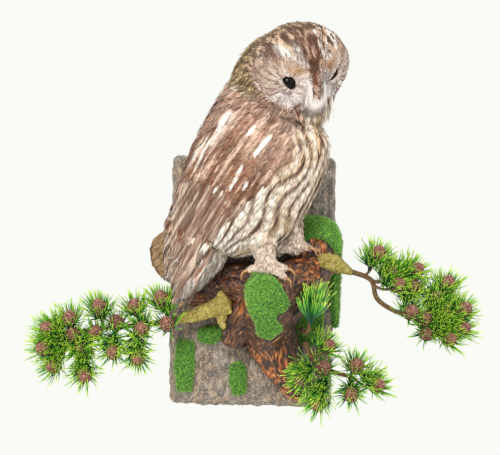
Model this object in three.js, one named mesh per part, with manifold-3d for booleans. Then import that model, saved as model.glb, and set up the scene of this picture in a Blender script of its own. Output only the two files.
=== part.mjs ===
// A mounted tawny owl on its wall plaque, life size, in millimetres, +Z up.
// The origin is the middle of the plaque's flat back, which lies on the wall plane Y = 0.
// +X is to the right as the viewer sees it, and the viewer stands on the -Y side.
import * as THREE from 'three';
import { mergeVertices } from 'three/addons/utils/BufferGeometryUtils.js';
import Module from 'manifold-3d';

const wasm = await Module();
wasm.setup();

// ---------------------------------------------------------------- driving dimensions
const GAP = 0.3;                      // clearance between touching solids
const SLIVER = 0.02;                  // points this close after the cuts become one

const PLAQUE_WIDTH = 219;
const PLAQUE_HEIGHT = 334;
const PLAQUE_THICKNESS = 26;
const PLAQUE_CORNER = 12;             // radius of its worn corners
const PLAQUE_BEVEL = 9;               // width of the bark-covered slope round the front

const HANGING_LEAN = THREE.MathUtils.degToRad(-1.3);   // everything on the plaque leans a little
const LEAN_PIVOT = new THREE.Vector3(-5, 0, 72);

const PERCH = new THREE.Vector3(32, -117, 32);         // between the owl's feet
const BODY_YAW = THREE.MathUtils.degToRad(-18);        // the owl's forward is +X turned to the viewer
const WING_THICKNESS = 7.5;
const FLIGHT_RECESS = 1.5;            // the flight feathers lie this much under the coverts
const MANTLE_TOP = 24;                // half width of the back between the wings, at the shoulders
const MANTLE_BOTTOM = 2;

const HEAD_CENTRE = new THREE.Vector3(25, 0, 234);     // in the owl's own frame
const HEAD_YAW = THREE.MathUtils.degToRad(-44);        // turned to its right, to the viewer
const HEAD_PITCH = THREE.MathUtils.degToRad(38);       // looking down
const HEAD_ROLL = THREE.MathUtils.degToRad(16);        // crown tipped to its right
const HEAD_HALF_WIDTH = 65;
const HEAD_HALF_HEIGHT = 62;
const HEAD_FRONT = 50;                // depth of the face in front of the centre
const HEAD_BACK = 55;
const CHEEK_TAPER = 0.28;             // the head narrows by this share down to the chin
const CHEEK_TOP = 0.3;                // the share of its half height at which it starts to narrow
const DISC_CENTRE = new THREE.Vector2(32, 9);          // a facial disc, across and up
const DISC_SIZE = new THREE.Vector2(30, 34);
const DISC_DEPTH = 7;
const DISC_RIM = 3;
const EYE_RADIUS = 11;
const EYE = new THREE.Vector3(30, 28.5, 8.5);            // centre of the left eye in the head
const BROW_BRIDGE = 11;               // height of the ridge between the discs
const BRIDGE_WIDTH = 11;

const TALON_WIDTH = 3.4;
const CONE_LENGTH = 22;
const CONE_WIDTH = 14;
const TUFT_RADIUS = 23;               // needles reach this far round the root of a cone
const MOSS_DEPTH = 5;

const RING_SIDES = 14;                // sides of the owl's lofts
const LIMB_SIDES = 7;                // sides of the driftwood's limbs
const TWIG_SIDES = 6;
const TUFT_SIDES = 6;

// ---------------------------------------------------------------- small helpers
const vec = (x, y, z) => new THREE.Vector3(x, y, z);

// A closed geometry of shared points whose faces point out.
function closed(points, faces) {
  let volume = 0;
  for (let i = 0; i < faces.length; i += 3) {
    const [a, b, c] = [points[faces[i]], points[faces[i + 1]], points[faces[i + 2]]];
    volume += a.dot(b.clone().cross(c));
  }
  const turned = [...faces];
  if (volume < 0) {
    for (let i = 0; i < turned.length; i += 3) {
      [turned[i], turned[i + 1]] = [turned[i + 1], turned[i]];
    }
  }
  const geometry = new THREE.BufferGeometry();
  const places = points.flatMap((p) => p.toArray());
  geometry.setAttribute('position', new THREE.Float32BufferAttribute(places, 3));
  geometry.setIndex(turned);
  return geometry;
}

// Rings of equal point counts joined into a closed skin, with a fan at each end.
function skinRings(rings, startTip = null, endTip = null) {
  const sides = rings[0].length;
  const middle = (ring) => ring.reduce((sum, p) => sum.add(p), vec(0, 0, 0)).divideScalar(sides);
  const points = [...rings.flat(), startTip ?? middle(rings[0]), endTip ?? middle(rings.at(-1))];
  const start = points.length - 2;
  const end = points.length - 1;
  const last = (rings.length - 1) * sides;
  const faces = [];
  for (let side = 0; side < sides; side += 1) {
    const next = (side + 1) % sides;
    for (let row = 0; row < rings.length - 1; row += 1) {
      const low = row * sides;
      const high = low + sides;
      faces.push(low + side, low + next, high + next, low + side, high + next, high + side);
    }
    faces.push(start, next, side, end, last + side, last + next);
  }
  return closed(points, faces);
}

function solid(geometry, tolerance = 1e-4) {
  const bare = geometry.clone();
  bare.deleteAttribute('normal');
  bare.deleteAttribute('uv');
  const merged = mergeVertices(bare, tolerance);
  const corners = [...merged.index.array];
  const faces = [];
  for (let i = 0; i < corners.length; i += 3) {
    const [a, b, c] = corners.slice(i, i + 3);
    if (a !== b && b !== c && c !== a) faces.push(a, b, c);
  }
  const triVerts = new Uint32Array(faces);
  const vertProperties = merged.attributes.position.array;
  return new wasm.Manifold(new wasm.Mesh({ numProp: 3, vertProperties, triVerts }));
}

function geometryOf(body) {
  const mesh = body.getMesh();
  const places = new Float32Array(mesh.vertProperties);
  const geometry = new THREE.BufferGeometry();
  geometry.setAttribute('position', new THREE.BufferAttribute(places, 3));
  geometry.setIndex(new THREE.BufferAttribute(new Uint32Array(mesh.triVerts), 1));
  return geometry;
}

const join = (bodies) => bodies.reduce((sum, body) => sum.add(body));
const largerOf = (best, piece) => (piece.volume() > best.volume() ? piece : best);
const largestPiece = (body) => body.decompose().reduce(largerOf);
const cutAll = (body, tools) => tools.reduce((rest, tool) => rest.subtract(tool), body);

// A straight prism: an outline in the XZ plane, carried from y = near to y = far.
function prism(outline, near, far) {
  const loops = [near, far].map((y) => outline.map(([x, z]) => vec(x, y, z)));
  const shape = outline.map(([x, z]) => new THREE.Vector2(x, z));
  const count = outline.length;
  const faces = [];
  for (const [a, b, c] of THREE.ShapeUtils.triangulateShape(shape, [])) {
    faces.push(a, b, c, count + a, count + c, count + b);
  }
  const clockwise = THREE.ShapeUtils.area(shape) < 0;
  for (let i = 0; i < count; i += 1) {
    const j = (i + 1) % count;
    faces.push(...(clockwise ? [i, j, count + j, i, count + j, count + i]
      : [j, i, count + j, count + j, i, count + i]));
  }
  return solid(closed(loops.flat(), faces));
}

// The same outline with every edge moved inwards.
function inset(outline, distance) {
  const area = THREE.ShapeUtils.area(outline.map(([x, z]) => new THREE.Vector2(x, z)));
  const side = Math.sign(area) * distance;
  return outline.map(([x, z], i) => {
    const before = outline.at(i - 1);
    const after = outline[(i + 1) % outline.length];
    const into = new THREE.Vector2(x - before[0], z - before[1]).normalize();
    const out = new THREE.Vector2(after[0] - x, after[1] - z).normalize();
    const stretch = side / Math.max(1 + into.dot(out), 0.4);
    return [x - (into.y + out.y) * stretch, z + (into.x + out.x) * stretch];
  });
}

// Rows of numbers carried on a Catmull-Rom curve through the given rows.
function through(rows, steps) {
  const spans = rows.length - 1;
  return Array.from({ length: steps + 1 }, (_, i) => {
    const along = (i / steps) * spans;
    const span = Math.min(Math.floor(along), spans - 1);
    const t = along - span;
    const [p, q, r, s] = [-1, 0, 1, 2].map((k) => rows[Math.min(Math.max(span + k, 0), spans)]);
    return q.map((_, k) => 0.5 * (2 * q[k] + (r[k] - p[k]) * t
      + (2 * p[k] - 5 * q[k] + 4 * r[k] - s[k]) * t * t
      + (3 * q[k] - p[k] - 3 * r[k] + s[k]) * t * t * t));
  });
}

// Soft unevenness from a few sines, between about -1 and 1.
function uneven(x, y, z, size) {
  const [u, v, w] = [x / size, y / size, z / size];
  return (Math.sin(u * 1.7 + v * 0.9 + 1.3) + Math.sin(v * 1.9 - w * 1.1 + 0.4)
    + Math.sin(w * 1.6 + u * 1.2 + 2.1)) / 3;
}

const RIDGES = 5;                     // round a gnarled limb
const KNOT_SIZE = 14;                 // of a gnarled limb's uneven places

// A limb along a smooth path of [x, y, z, radius] rows, with ridges that wind round it.
function limb(rows, options = {}) {
  const { sides = TWIG_SIDES, steps = rows.length * 2, grow = 0 } = options;
  const { ridge = 0, rough = 0, twist = 0 } = options;
  const path = through(rows, steps);
  const curve = path.map(([x, y, z]) => vec(x, y, z));
  let across = vec(0, 0, 1).cross(curve[1].clone().sub(curve[0]));
  if (across.length() < 1e-3) across = vec(1, 0, 0);
  const rings = curve.map((centre, i) => {
    const ahead = curve[Math.min(i + 1, steps)].clone().sub(curve[Math.max(i - 1, 0)]).normalize();
    across = across.clone().addScaledVector(ahead, -across.dot(ahead)).normalize();
    const up = ahead.clone().cross(across);
    return Array.from({ length: sides }, (_, k) => {
      const turn = (k / sides) * 2 * Math.PI;
      const knot = uneven(centre.x + 40 * turn, centre.y, centre.z, KNOT_SIZE);
      const dent = ridge * Math.cos(RIDGES * turn + twist * i) + rough * knot;
      const reach = path[i][3] * (1 + dent) + grow;
      return centre.clone().addScaledVector(across, reach * Math.cos(turn))
        .addScaledVector(up, reach * Math.sin(turn));
    });
  });
  const bulge = (end, inner) => curve[end].clone().add(
    curve[end].clone().sub(curve[inner]).normalize().multiplyScalar(path[end][3] * 0.35 + grow));
  return solid(skinRings(rings, bulge(0, 1), bulge(steps, steps - 1)));
}

// ---------------------------------------------------------------- places
const onWall = (point) => point.sub(LEAN_PIVOT).applyAxisAngle(vec(0, 1, 0), HANGING_LEAN).add(LEAN_PIVOT);

const wallLean = new THREE.Matrix4()
  .makeTranslation(LEAN_PIVOT.x, LEAN_PIVOT.y, LEAN_PIVOT.z)
  .multiply(new THREE.Matrix4().makeRotationY(HANGING_LEAN))
  .multiply(new THREE.Matrix4().makeTranslation(-LEAN_PIVOT.x, -LEAN_PIVOT.y, -LEAN_PIVOT.z));

const owlPlace = wallLean.clone()
  .multiply(new THREE.Matrix4().makeTranslation(PERCH.x, PERCH.y, PERCH.z))
  .multiply(new THREE.Matrix4().makeRotationZ(BODY_YAW));

const headPlace = new THREE.Matrix4()
  .makeTranslation(HEAD_CENTRE.x, HEAD_CENTRE.y, HEAD_CENTRE.z)
  .multiply(new THREE.Matrix4().makeRotationZ(HEAD_YAW))
  .multiply(new THREE.Matrix4().makeRotationY(HEAD_PITCH))
  .multiply(new THREE.Matrix4().makeRotationX(HEAD_ROLL));

const move = (body, matrix) => body.transform(matrix.toArray());

// ---------------------------------------------------------------- the owl's body
// Each rib runs from the back to the front of the body: back x, z, front x, z, half width, and
// how far it sits to the owl's left, away from the side that the head is turned to.
const BODY_RIBS = [
  [-66, 228, 60, 150, 47, 8],
  [-79, 202, 61, 122, 60, 1],
  [-101, 162, 46, 84, 66, 0],
  [-121, 118, 25, 48, 63, 0],
  [-139, 76, -3, 16, 54, 0],
  [-151, 38, -48, 4, 42, 0],
  [-156, 4, -88, -16, 30, 0],
  [-152, -24, -122, -32, 16, 0],
];

const NECK_RIBS = [
  [-66, 228, 60, 150, 47, 8],
  [-57, 250, 42, 180, 46, 9],
  [-37, 271, 26, 226, 42, 6],
  [-13, 284, 18, 254, 28, 2],
];

const TAIL_RIBS = [
  [-118, 50, -58, 14, 22, 0],
  [-132, 18, -80, -14, 24, 0],
  [-138, -10, -102, -34, 25, 0],
  [-139, -38, -122, -50, 25, 0],
  [-138, -56, -131, -60, 20, 0],
];

// Ring of one rib: a soft square section, between an ellipse and a rectangle.
function ribRing([backX, backZ, frontX, frontZ, halfWidth, shift], shrink, lift = 0) {
  const back = vec(backX, 0, backZ);
  const front = vec(frontX, 0, frontZ);
  const middle = back.clone().add(front).multiplyScalar(0.5);
  const half = front.clone().sub(back).multiplyScalar(0.5);
  const normal = vec(-half.z, 0, half.x).normalize();
  const depth = half.length();
  const reach = (depth - shrink) / depth;
  const width = halfWidth - shrink;
  return Array.from({ length: RING_SIDES }, (_, k) => {
    const turn = ((k + 0.5) / RING_SIDES) * 2 * Math.PI;
    const soft = (value) => Math.sign(value) * Math.abs(value) ** 0.9;
    return middle.clone().addScaledVector(half, reach * soft(Math.cos(turn)))
      .add(vec(0, shift + width * soft(Math.sin(turn)), 0)).addScaledVector(normal, lift);
  });
}

function ribLoft(ribs, steps, shrink = 0, lift = 0) {
  return solid(skinRings(through(ribs, steps).map((rib) => ribRing(rib, shrink, lift))));
}

// The body with its wings, shrunk by some depth and run past both ends.
function bodyHull(shrink, overrun = 0) {
  const first = BODY_RIBS[0].map((value, i) => value + (value - BODY_RIBS[1][i]) * overrun);
  const last = BODY_RIBS.at(-1).map((value, i) => value + (value - BODY_RIBS.at(-2)[i]) * overrun);
  const ribs = overrun > 0 ? [first, ...BODY_RIBS, last] : BODY_RIBS;
  return ribLoft(ribs, 12, shrink);
}

// Side outlines of the folded wing, as [x, z]: the coverts, then the long flight feathers.
const SHOULDER_EDGE = [[-200, 216], [-50, 208], [0, 180], [24, 164], [38, 148], [22, 124], [-6, 89],
  [-29, 66]];
const FLIGHT_EDGE = [[-52, 47], [-86, 9], [-112, -12], [-138, -40], [-200, -60]];
const COVERT_ENDS = [[-72, 86], [-130, 104], [-200, 110]];
const COVERTS = [...SHOULDER_EDGE, ...COVERT_ENDS];
const FLIGHT = [SHOULDER_EDGE.at(-1), ...FLIGHT_EDGE, ...[...COVERT_ENDS].reverse()];
const WHOLE_WING = [...SHOULDER_EDGE, ...FLIGHT_EDGE];
// The far wing hangs lower and its rounded tip stands out behind the near one.
const FAR_TIP = [[-112, 46], [-150, 44], [-170, 30], [-179, 12], [-175, -8], [-162, -26], [-144, -34],
  [-120, -8]];

const FAR_TIP_SPAN = [8, 13];          // between which depths the far wing's tip lies
const HALF_BODY = 90;                 // wider than the owl is to either side
const OVERRUN = 0.4;                  // share of a rib's step by which inner cuts run past the ends

function wingSide(side, outline, nearY, farY) {
  return side > 0 ? prism(outline, nearY, farY) : prism(outline, -farY, -nearY);
}

// The wedge of back between the wings.
const mantle = (() => {
  const outline = [[MANTLE_TOP, 240], [MANTLE_TOP, 212], [MANTLE_BOTTOM, 60], [MANTLE_BOTTOM, -80]];
  const edge = [...outline, ...[...outline].reverse().map(([y, z]) => [-y, z])];
  const wedge = prism(edge, -220, 10);
  return move(wedge, new THREE.Matrix4().makeRotationZ(-Math.PI / 2));
})();

const grownMantle = (() => {
  const grow = (MANTLE_TOP + GAP) / MANTLE_TOP;
  return move(mantle, new THREE.Matrix4().makeScale(1, grow, 1));
})();

const core = bodyHull(WING_THICKNESS, OVERRUN);
const covertsShell = bodyHull(0).subtract(core);
const flightShell = bodyHull(FLIGHT_RECESS).subtract(core);
const wingRoom = bodyHull(-2).subtract(bodyHull(WING_THICKNESS + GAP, OVERRUN)).subtract(mantle);

function wingCoverts(side) {
  const half = wingSide(side, inset(COVERTS, GAP), 1, HALF_BODY);
  return covertsShell.intersect(half).subtract(grownMantle);
}

function wingFlight(side) {
  const half = wingSide(side, inset(FLIGHT, GAP), 1, HALF_BODY);
  const folded = flightShell.intersect(half).subtract(grownMantle);
  return side > 0 ? folded.add(wingSide(side, FAR_TIP, ...FAR_TIP_SPAN)) : folded;
}

const [tipNear, tipFar] = FAR_TIP_SPAN;
const wingRooms = [
  wingSide(1, inset(FAR_TIP, -GAP), tipNear - GAP, tipFar + GAP),
  wingRoom.intersect(wingSide(-1, WHOLE_WING, 0, HALF_BODY)),
  wingRoom.intersect(wingSide(1, WHOLE_WING, 0, HALF_BODY)),
];

// Everything in front of this line is trunk, and what lies behind it is tail.
const RUMP_LINE = [[-200, 70], [-112, 44], [-58, 4], [-40, -40], [120, -40], [120, 300], [-200, 300]];

function trunk() {
  const above = prism(RUMP_LINE, -HALF_BODY, HALF_BODY);
  return cutAll(bodyHull(0).intersect(above), wingRooms);
}

function tail() {
  const below = prism(inset(RUMP_LINE, -GAP), -HALF_BODY, HALF_BODY);
  return cutAll(ribLoft(TAIL_RIBS, 5).subtract(below), wingRooms);
}

// ---------------------------------------------------------------- the owl's head
function headGeometry(grow = 0) {
  const rows = 13;
  const sides = 20;
  const rings = [];
  for (let row = 1; row < rows; row += 1) {
    const open = Math.PI * (row / rows) ** 1.15;
    const turns = Array.from({ length: sides }, (_, k) => ((k + 0.5) / sides) * 2 * Math.PI);
    rings.push(turns.map((turn) => facePoint(open, turn, grow)));
  }
  return skinRings(rings, facePoint(0, 0, grow), facePoint(Math.PI, 0, grow));
}

// A point of the head: open is the angle from straight ahead, turn goes round that axis.
function facePoint(open, turn, grow) {
  const across = Math.sin(open) * Math.cos(turn);
  const up = Math.sin(open) * Math.sin(turn);
  const ahead = Math.cos(open);
  const cheek = 1 - CHEEK_TAPER * Math.max(0, (CHEEK_TOP - up) / (1 + CHEEK_TOP));
  const y = (HEAD_HALF_WIDTH + grow) * across * cheek;
  const z = (HEAD_HALF_HEIGHT + grow) * up;
  const depth = ahead > 0 ? HEAD_FRONT : HEAD_BACK;
  const x = (depth + grow) * Math.sign(ahead) * Math.abs(ahead) ** (ahead > 0 ? 0.8 : 1);
  return vec(x + (ahead > 0 ? faceRelief(y, z) : 0), y, z);
}

// How far the face stands forward of the plain head: discs hollow, rims and bridge raised.
function faceRelief(y, z) {
  const across = (Math.abs(y) - DISC_CENTRE.x) / DISC_SIZE.x;
  const up = (z - DISC_CENTRE.y) / DISC_SIZE.y;
  const out = Math.hypot(across, up);
  const dish = out < 1 ? -DISC_DEPTH * (1 - out * out) : 0;
  const rim = DISC_RIM * Math.exp(-(((out - 1) / 0.15) ** 2));
  const bridge = BROW_BRIDGE * Math.exp(-((y / BRIDGE_WIDTH) ** 2)) * Math.exp(-(((z - 6) / 34) ** 2));
  return dish + rim + bridge;
}

const ball = (radius, centre) => solid(new THREE.SphereGeometry(radius, 10, 7)
  .translate(centre.x, centre.y, centre.z));
const eyeCentre = (side) => vec(EYE.x, side * EYE.y, EYE.z);

// The hooked bill: rows of x, z at its middle, half height and half width.
const BILL_ROWS = [
  [38, 6, 7, 6.5],
  [48, 4, 7.5, 6],
  [54.5, -1, 7, 5],
  [58, -8, 5, 3.6],
  [58, -15, 3, 2.2],
  [55.5, -20, 1, 0.8],
];

function bill(grow = 0) {
  const rows = through(BILL_ROWS, 8);
  const rings = rows.map(([x, z, tall, wide], i) => {
    const before = rows[Math.max(i - 1, 0)];
    const after = rows[Math.min(i + 1, rows.length - 1)];
    const ahead = vec(after[0] - before[0], 0, after[1] - before[1]).normalize();
    const up = vec(-ahead.z, 0, ahead.x);
    return Array.from({ length: 8 }, (_, k) => {
      const turn = (k / 8) * 2 * Math.PI;
      return vec(x, 0, z).addScaledVector(up, (tall + grow) * Math.cos(turn))
        .add(vec(0, (wide + grow) * Math.sin(turn), 0));
    });
  });
  return solid(skinRings(rings));
}

// ---------------------------------------------------------------- the owl's legs and feet
// Places in the owl's own frame: the foot's middle, then where each toe ends.
const FEET = {
  right: {
    foot: vec(-10, -24, -12),
    toes: [vec(17, -31, -22), vec(16, -18, -11), vec(-33, -29, -13), vec(-14, -1, -14)],
    talons: [vec(24, -33, -33), vec(25, -18, -24), vec(-40, -31, -25), vec(-18, 6, -22)],
  },
  left: {
    foot: vec(12, 24, 11),
    toes: [vec(33, 16, 14), vec(34, 29, 13), vec(-6, 12, 8), vec(10, 44, 6)],
    talons: [vec(44, 15, 4), vec(45, 30, 3), vec(-12, 8, -2), vec(10, 52, -3)],
  },
};

function leg({ foot }, grow = 0) {
  const side = Math.sign(foot.y);
  return limb([
    [foot.x - 16, foot.y - side * 2, foot.z + 52, 17],
    [foot.x - 8, foot.y, foot.z + 36, 18],
    [foot.x - 1, foot.y, foot.z + 18, 14],
    [foot.x, foot.y, foot.z + 6, 11],
  ], { sides: 8, steps: 4, grow });
}

function toes({ foot, toes: ends }, grow = 0) {
  const sole = limb([
    [foot.x - 5, foot.y, foot.z + 1, 8],
    [foot.x + 5, foot.y, foot.z + 1, 8],
  ], { sides: 4, steps: 1, grow });
  const each = ends.map((end) => {
    const crown = foot.clone().lerp(end, 0.55).add(vec(0, 0, 4));
    return limb([
      [foot.x, foot.y, foot.z + 1, 7],
      [crown.x, crown.y, crown.z, 6.4],
      [end.x, end.y, end.z, 4.6],
    ], { sides: 5, steps: 2, grow });
  });
  return join([sole, ...each]);
}

// A curved claw from the end of a toe down to its point.
function talon({ foot, toes: ends, talons: points }, index, grow = 0) {
  const root = ends[index];
  const point = points[index];
  const out = root.clone().sub(foot).setZ(0).normalize();
  const inner = root.clone().addScaledVector(out, -2);
  const crown = root.clone().lerp(point, 0.45).addScaledVector(out, 3.5).add(vec(0, 0, 3.5));
  return limb([
    [inner.x, inner.y, inner.z + 0.5, TALON_WIDTH * 0.8],
    [crown.x, crown.y, crown.z, TALON_WIDTH * 0.6],
    [point.x, point.y, point.z, 0.5],
  ], { sides: 5, steps: 3, grow });
}

// ---------------------------------------------------------------- the plaque
// Points round the plaque's edge with their outward directions: an arc at each corner, then a
// straight side.
function rim() {
  const arcSteps = 4;
  const corners = [[1, 1], [-1, 1], [-1, -1], [1, -1]];
  const centre = ([right, up]) => [
    right * (PLAQUE_WIDTH / 2 - PLAQUE_CORNER),
    up * (PLAQUE_HEIGHT / 2 - PLAQUE_CORNER),
  ];
  return corners.flatMap((corner, i) => {
    const [cx, cz] = centre(corner);
    const arc = Array.from({ length: arcSteps }, (_, k) => {
      const turn = (i + k / (arcSteps - 1)) * Math.PI / 2;
      const out = [Math.cos(turn), Math.sin(turn)];
      return { x: cx + PLAQUE_CORNER * out[0], z: cz + PLAQUE_CORNER * out[1], out };
    });
    const [nx, nz] = centre(corners[(i + 1) % 4]);
    const { x, z, out } = arc.at(-1);
    const sideSteps = 5 - (i % 2 === 0 ? 1 : 0);
    const side = Array.from({ length: sideSteps }, (_, k) => {
      const share = (k + 1) / (sideSteps + 1);
      return { x: x + (nx - cx) * share, z: z + (nz - cz) * share, out };
    });
    return [...arc, ...side];
  });
}

function plaque(grow = 0) {
  const edge = rim();
  const ring = (y, inwards, bumps) => edge.map(({ x, z, out }) => {
    const move = grow - inwards + 2 * uneven(x, 0, z, 11);
    return vec(x + out[0] * move, y + bumps * uneven(x, 7, z, 12), z + out[1] * move);
  });
  const front = -PLAQUE_THICKNESS - grow;
  const inner = (share) => edge.map(({ x, z }) => {
    const hollow = 1.6 * uneven(x * share, 7, z * share, 12);
    return vec(x * share, front + hollow, z * share);
  });
  const rings = [
    ring(grow, 3, 0),
    ring(-5, 0, 0.8),
    ring(-PLAQUE_THICKNESS * 0.62, 0.5, 1.2),
    ring(front + 1.5, PLAQUE_BEVEL, 1.2),
    inner(0.66),
    inner(0.33),
  ];
  return solid(skinRings(rings, vec(31, grow, 23), vec(4, front, 6)));
}

// ---------------------------------------------------------------- the driftwood
// Limbs of the weathered root: rows of x, y, z, radius.
const ROOT_LIMBS = [
  [[84, -50, 74, 17], [84, -54, 52, 25], [78, -56, 26, 28], [52, -62, -2, 33], [22, -60, -36, 37],
    [20, -56, -78, 31], [40, -48, -120, 20], [58, -40, -153, 8]],
  [[66, -62, 8, 26], [48, -98, 7, 27], [20, -128, -18, 30]],
  [[20, -122, -22, 30], [17, -98, -50, 26], [18, -64, -66, 26]],
  [[24, -60, -12, 34], [-14, -56, 0, 32], [-44, -48, -4, 22], [-62, -40, -6, 12]],
  [[2, -60, -30, 30], [-20, -58, -58, 22], [-28, -56, -80, 15]],
  [[-30, -44, 12, 16], [-66, -38, 14, 12], [-102, -34, 26, 6]],
  [[-36, -44, -10, 16], [-66, -38, -16, 12], [-88, -34, -26, 6]],
  [[30, -40, -20, 26], [30, -20, -24, 26]],
  [[84, -48, 58, 22], [56, -42, 62, 18], [32, -38, 58, 12]],
];

// Rows of x, y, z, radius leaned with everything that hangs on the plaque.
const leaned = (rows) => rows.map(([x, y, z, radius]) => [...onWall(vec(x, y, z)).toArray(), radius]);

function driftwood(grow = 0) {
  const limbs = ROOT_LIMBS.map((rows, i) => limb(leaned(rows), {
    sides: LIMB_SIDES,
    steps: Math.round(rows.length * 1.4),
    grow,
    ridge: 0.05,
    rough: 0.09,
    twist: 0.25 + 0.1 * i,
  }));
  return join(limbs);
}

const LICHEN_STUBS = {
  left: [
    [[-32, -66, -26, 15], [-48, -66, -31, 13], [-66, -64, -38, 10], [-86, -62, -44, 8.5],
      [-97, -60, -46, 5.5]],
    [[-46, -66, -28, 9], [-38, -68, -8, 5]],
    [[-44, -66, -34, 9], [-37, -68, -58, 5]],
  ],
  right: [
    [[82, -66, 30, 17], [98, -68, 27, 14.5], [112, -64, 21, 9], [127, -60, 14, 5]],
  ],
};

function lichenStub(side, grow = 0) {
  return join(LICHEN_STUBS[side].map((rows) => limb(leaned(rows), {
    sides: LIMB_SIDES,
    steps: rows.length,
    grow,
    rough: 0.1,
  })));
}

// ---------------------------------------------------------------- moss
// Outlines of the moss pads, as [x, z], and what each lies on.
const MOSS = {
  moss_perch: { on: 'root', outline: [[2, 14], [18, 15], [28, 4], [42, -20], [36, -30], [27, -32],
    [24, -40], [32, -52], [20, -64], [6, -60], [4, -42], [-6, -28], [-10, -4]] },
  moss_crest: { on: 'root', outline: [[34, 74], [46, 54], [60, 56], [78, 62], [96, 56], [108, 40],
    [116, 56], [106, 84], [86, 98], [60, 100], [38, 90]] },
  moss_hollow: { on: 'plaque', outline: [[60, -24], [84, -22], [90, -50], [84, -80], [66, -84],
    [58, -60]] },
  moss_flank: { on: 'plaque', outline: [[101, 44], [116, 44], [118, 0], [117, -60], [106, -58],
    [104, -10]] },
  moss_left: { on: 'plaque', outline: [[-98, -78], [-82, -80], [-80, -112], [-84, -142], [-100, -143],
    [-103, -108]] },
  moss_low: { on: 'plaque', outline: [[-29, -110], [-16, -108], [-11, -126], [-14, -146], [-25, -148],
    [-31, -130]] },
  moss_gap: { on: 'plaque', outline: [[-70, -62], [-46, -60], [-42, -72], [-56, -80], [-72, -76]] },
};

// ---------------------------------------------------------------- pine boughs
// Each bough: its main stem as x, y, z, radius rows, and the ends of its cones as x, z.
const BOUGHS = {
  left: {
    stem: [[-95, -60, -46, 3.4], [-130, -56, -52, 3.2], [-180, -52, -58, 3], [-238, -50, -64, 2.6]],
    cones: [[-268, -53], [-237, -38], [-198, -22], [-154, -22], [-120, -11], [-112, -47], [-177, -44],
      [-144, -54], [-204, -59], [-233, -61], [-273, -80], [-223, -83], [-181, -87], [-149, -97],
      [-261, -107], [-216, -118]],
  },
  right: {
    stem: [[125, -60, 15, 3.4], [152, -56, 4, 3.2], [160, -54, -20, 3.2], [182, -52, -36, 3],
      [222, -50, -52, 2.6]],
    cones: [[161, 46], [179, 20], [187, 4], [206, 2], [212, 23], [249, 8], [237, -10], [202, -31],
      [220, -39], [251, -28], [272, -27], [223, -62], [254, -68], [272, -53]],
  },
  low: {
    stem: [[66, -62, -76, 4], [74, -66, -96, 3.4], [96, -62, -112, 3], [128, -58, -122, 2.6]],
    cones: [[99, -75], [91, -104], [132, -98], [57, -124], [163, -127], [124, -141], [79, -157]],
  },
};

const CONE_DEPTH = -84;               // the cones' tips stand about this far from the wall

// Where each side twig leaves the stem, and the cone at its end.
function sprays({ stem, cones }) {
  const path = through(stem, 24).map(([x, y, z]) => vec(x, y, z));
  return cones.map(([x, z], i) => {
    const tip = vec(x, CONE_DEPTH + 6 * Math.sin(i * 2.4), z);
    const near = path.reduce((best, p) => (p.distanceTo(tip) < best.distanceTo(tip) ? p : best));
    const out = tip.clone().sub(near).normalize();
    const facing = out.clone().add(vec(0, -0.5, 0.15)).normalize();
    const base = tip.clone().addScaledVector(facing, -CONE_LENGTH);
    return { near: onWall(near), base: onWall(base), tip: onWall(tip), facing };
  });
}

const TUFTS_START = 0.22;             // the share of a stem that is bare before its first tufts

// One tuft turned about its cone: radius and height from the root of the cone to its tip.
const TUFT_PROFILE = [
  [0, -0.7 * TUFT_RADIUS],
  [TUFT_RADIUS, 0.1 * TUFT_RADIUS],
  [CONE_WIDTH * 0.5, CONE_LENGTH * 0.5],
  [0, CONE_LENGTH],
];

function tuft({ base, facing }) {
  const upright = new THREE.Quaternion().setFromUnitVectors(vec(0, 1, 0), facing);
  const turned = new THREE.LatheGeometry(TUFT_PROFILE.map(([x, y]) => new THREE.Vector2(x, y)), TUFT_SIDES);
  return solid(turned.applyQuaternion(upright).translate(base.x, base.y, base.z));
}

const STEM_STEPS = 20;
const FIRST_TUFT = Math.round(STEM_STEPS * TUFTS_START);
const SLEEVE_RADIUS = 9;              // of the needles along a stem

// The bare woody length from the driftwood to the first tufts.
function boughTwig({ stem }, grow = 0) {
  const bare = through(leaned(stem), STEM_STEPS).slice(0, FIRST_TUFT + 2);
  return limb(bare, { steps: 3, grow });
}

// The leafy length: its stem in a sleeve of needles, and a cup with a cone at each side twig's end.
function boughTufts(bough) {
  const leafy = through(leaned(bough.stem), STEM_STEPS).slice(FIRST_TUFT);
  const sleeve = limb(leafy.map(([x, y, z]) => [x, y, z, SLEEVE_RADIUS]), { sides: 5, steps: 4 });
  return join([sleeve, ...sprays(bough).map(tuft)]);
}

const TUFT_TWIG = [[62, -66, -58, 4], [69, -72, -48, 3], [70, -74, -36, 2.6], [70, -76, -16, 2.2]];
const TUFT_CUP = [[70, -74, -42, 8], [70, -76, -26, 23], [70, -78, -8, 27], [70, -80, 1, 24]];

// ---------------------------------------------------------------- assembly
const FINISH = {
  plumage: { color: 0x8a6a4c, roughness: 0.9, metalness: 0 },
  pale_plumage: { color: 0xd9c8ae, roughness: 0.9, metalness: 0 },
  horn: { color: 0x5a3226, roughness: 0.4, metalness: 0 },
  claw: { color: 0xb98a56, roughness: 0.35, metalness: 0 },
  eye: { color: 0x0a0809, roughness: 0.08, metalness: 0 },
  bark: { color: 0x5d4c3d, roughness: 0.85, metalness: 0 },
  driftwood: { color: 0x6a3a24, roughness: 0.45, metalness: 0 },
  lichen: { color: 0x8f8142, roughness: 0.95, metalness: 0 },
  moss: { color: 0x4fa423, roughness: 1, metalness: 0 },
  needles: { color: 0x2f7a34, roughness: 0.55, metalness: 0 },
  twig: { color: 0x6b5136, roughness: 0.8, metalness: 0 },
};

const model = new THREE.Group();

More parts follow.
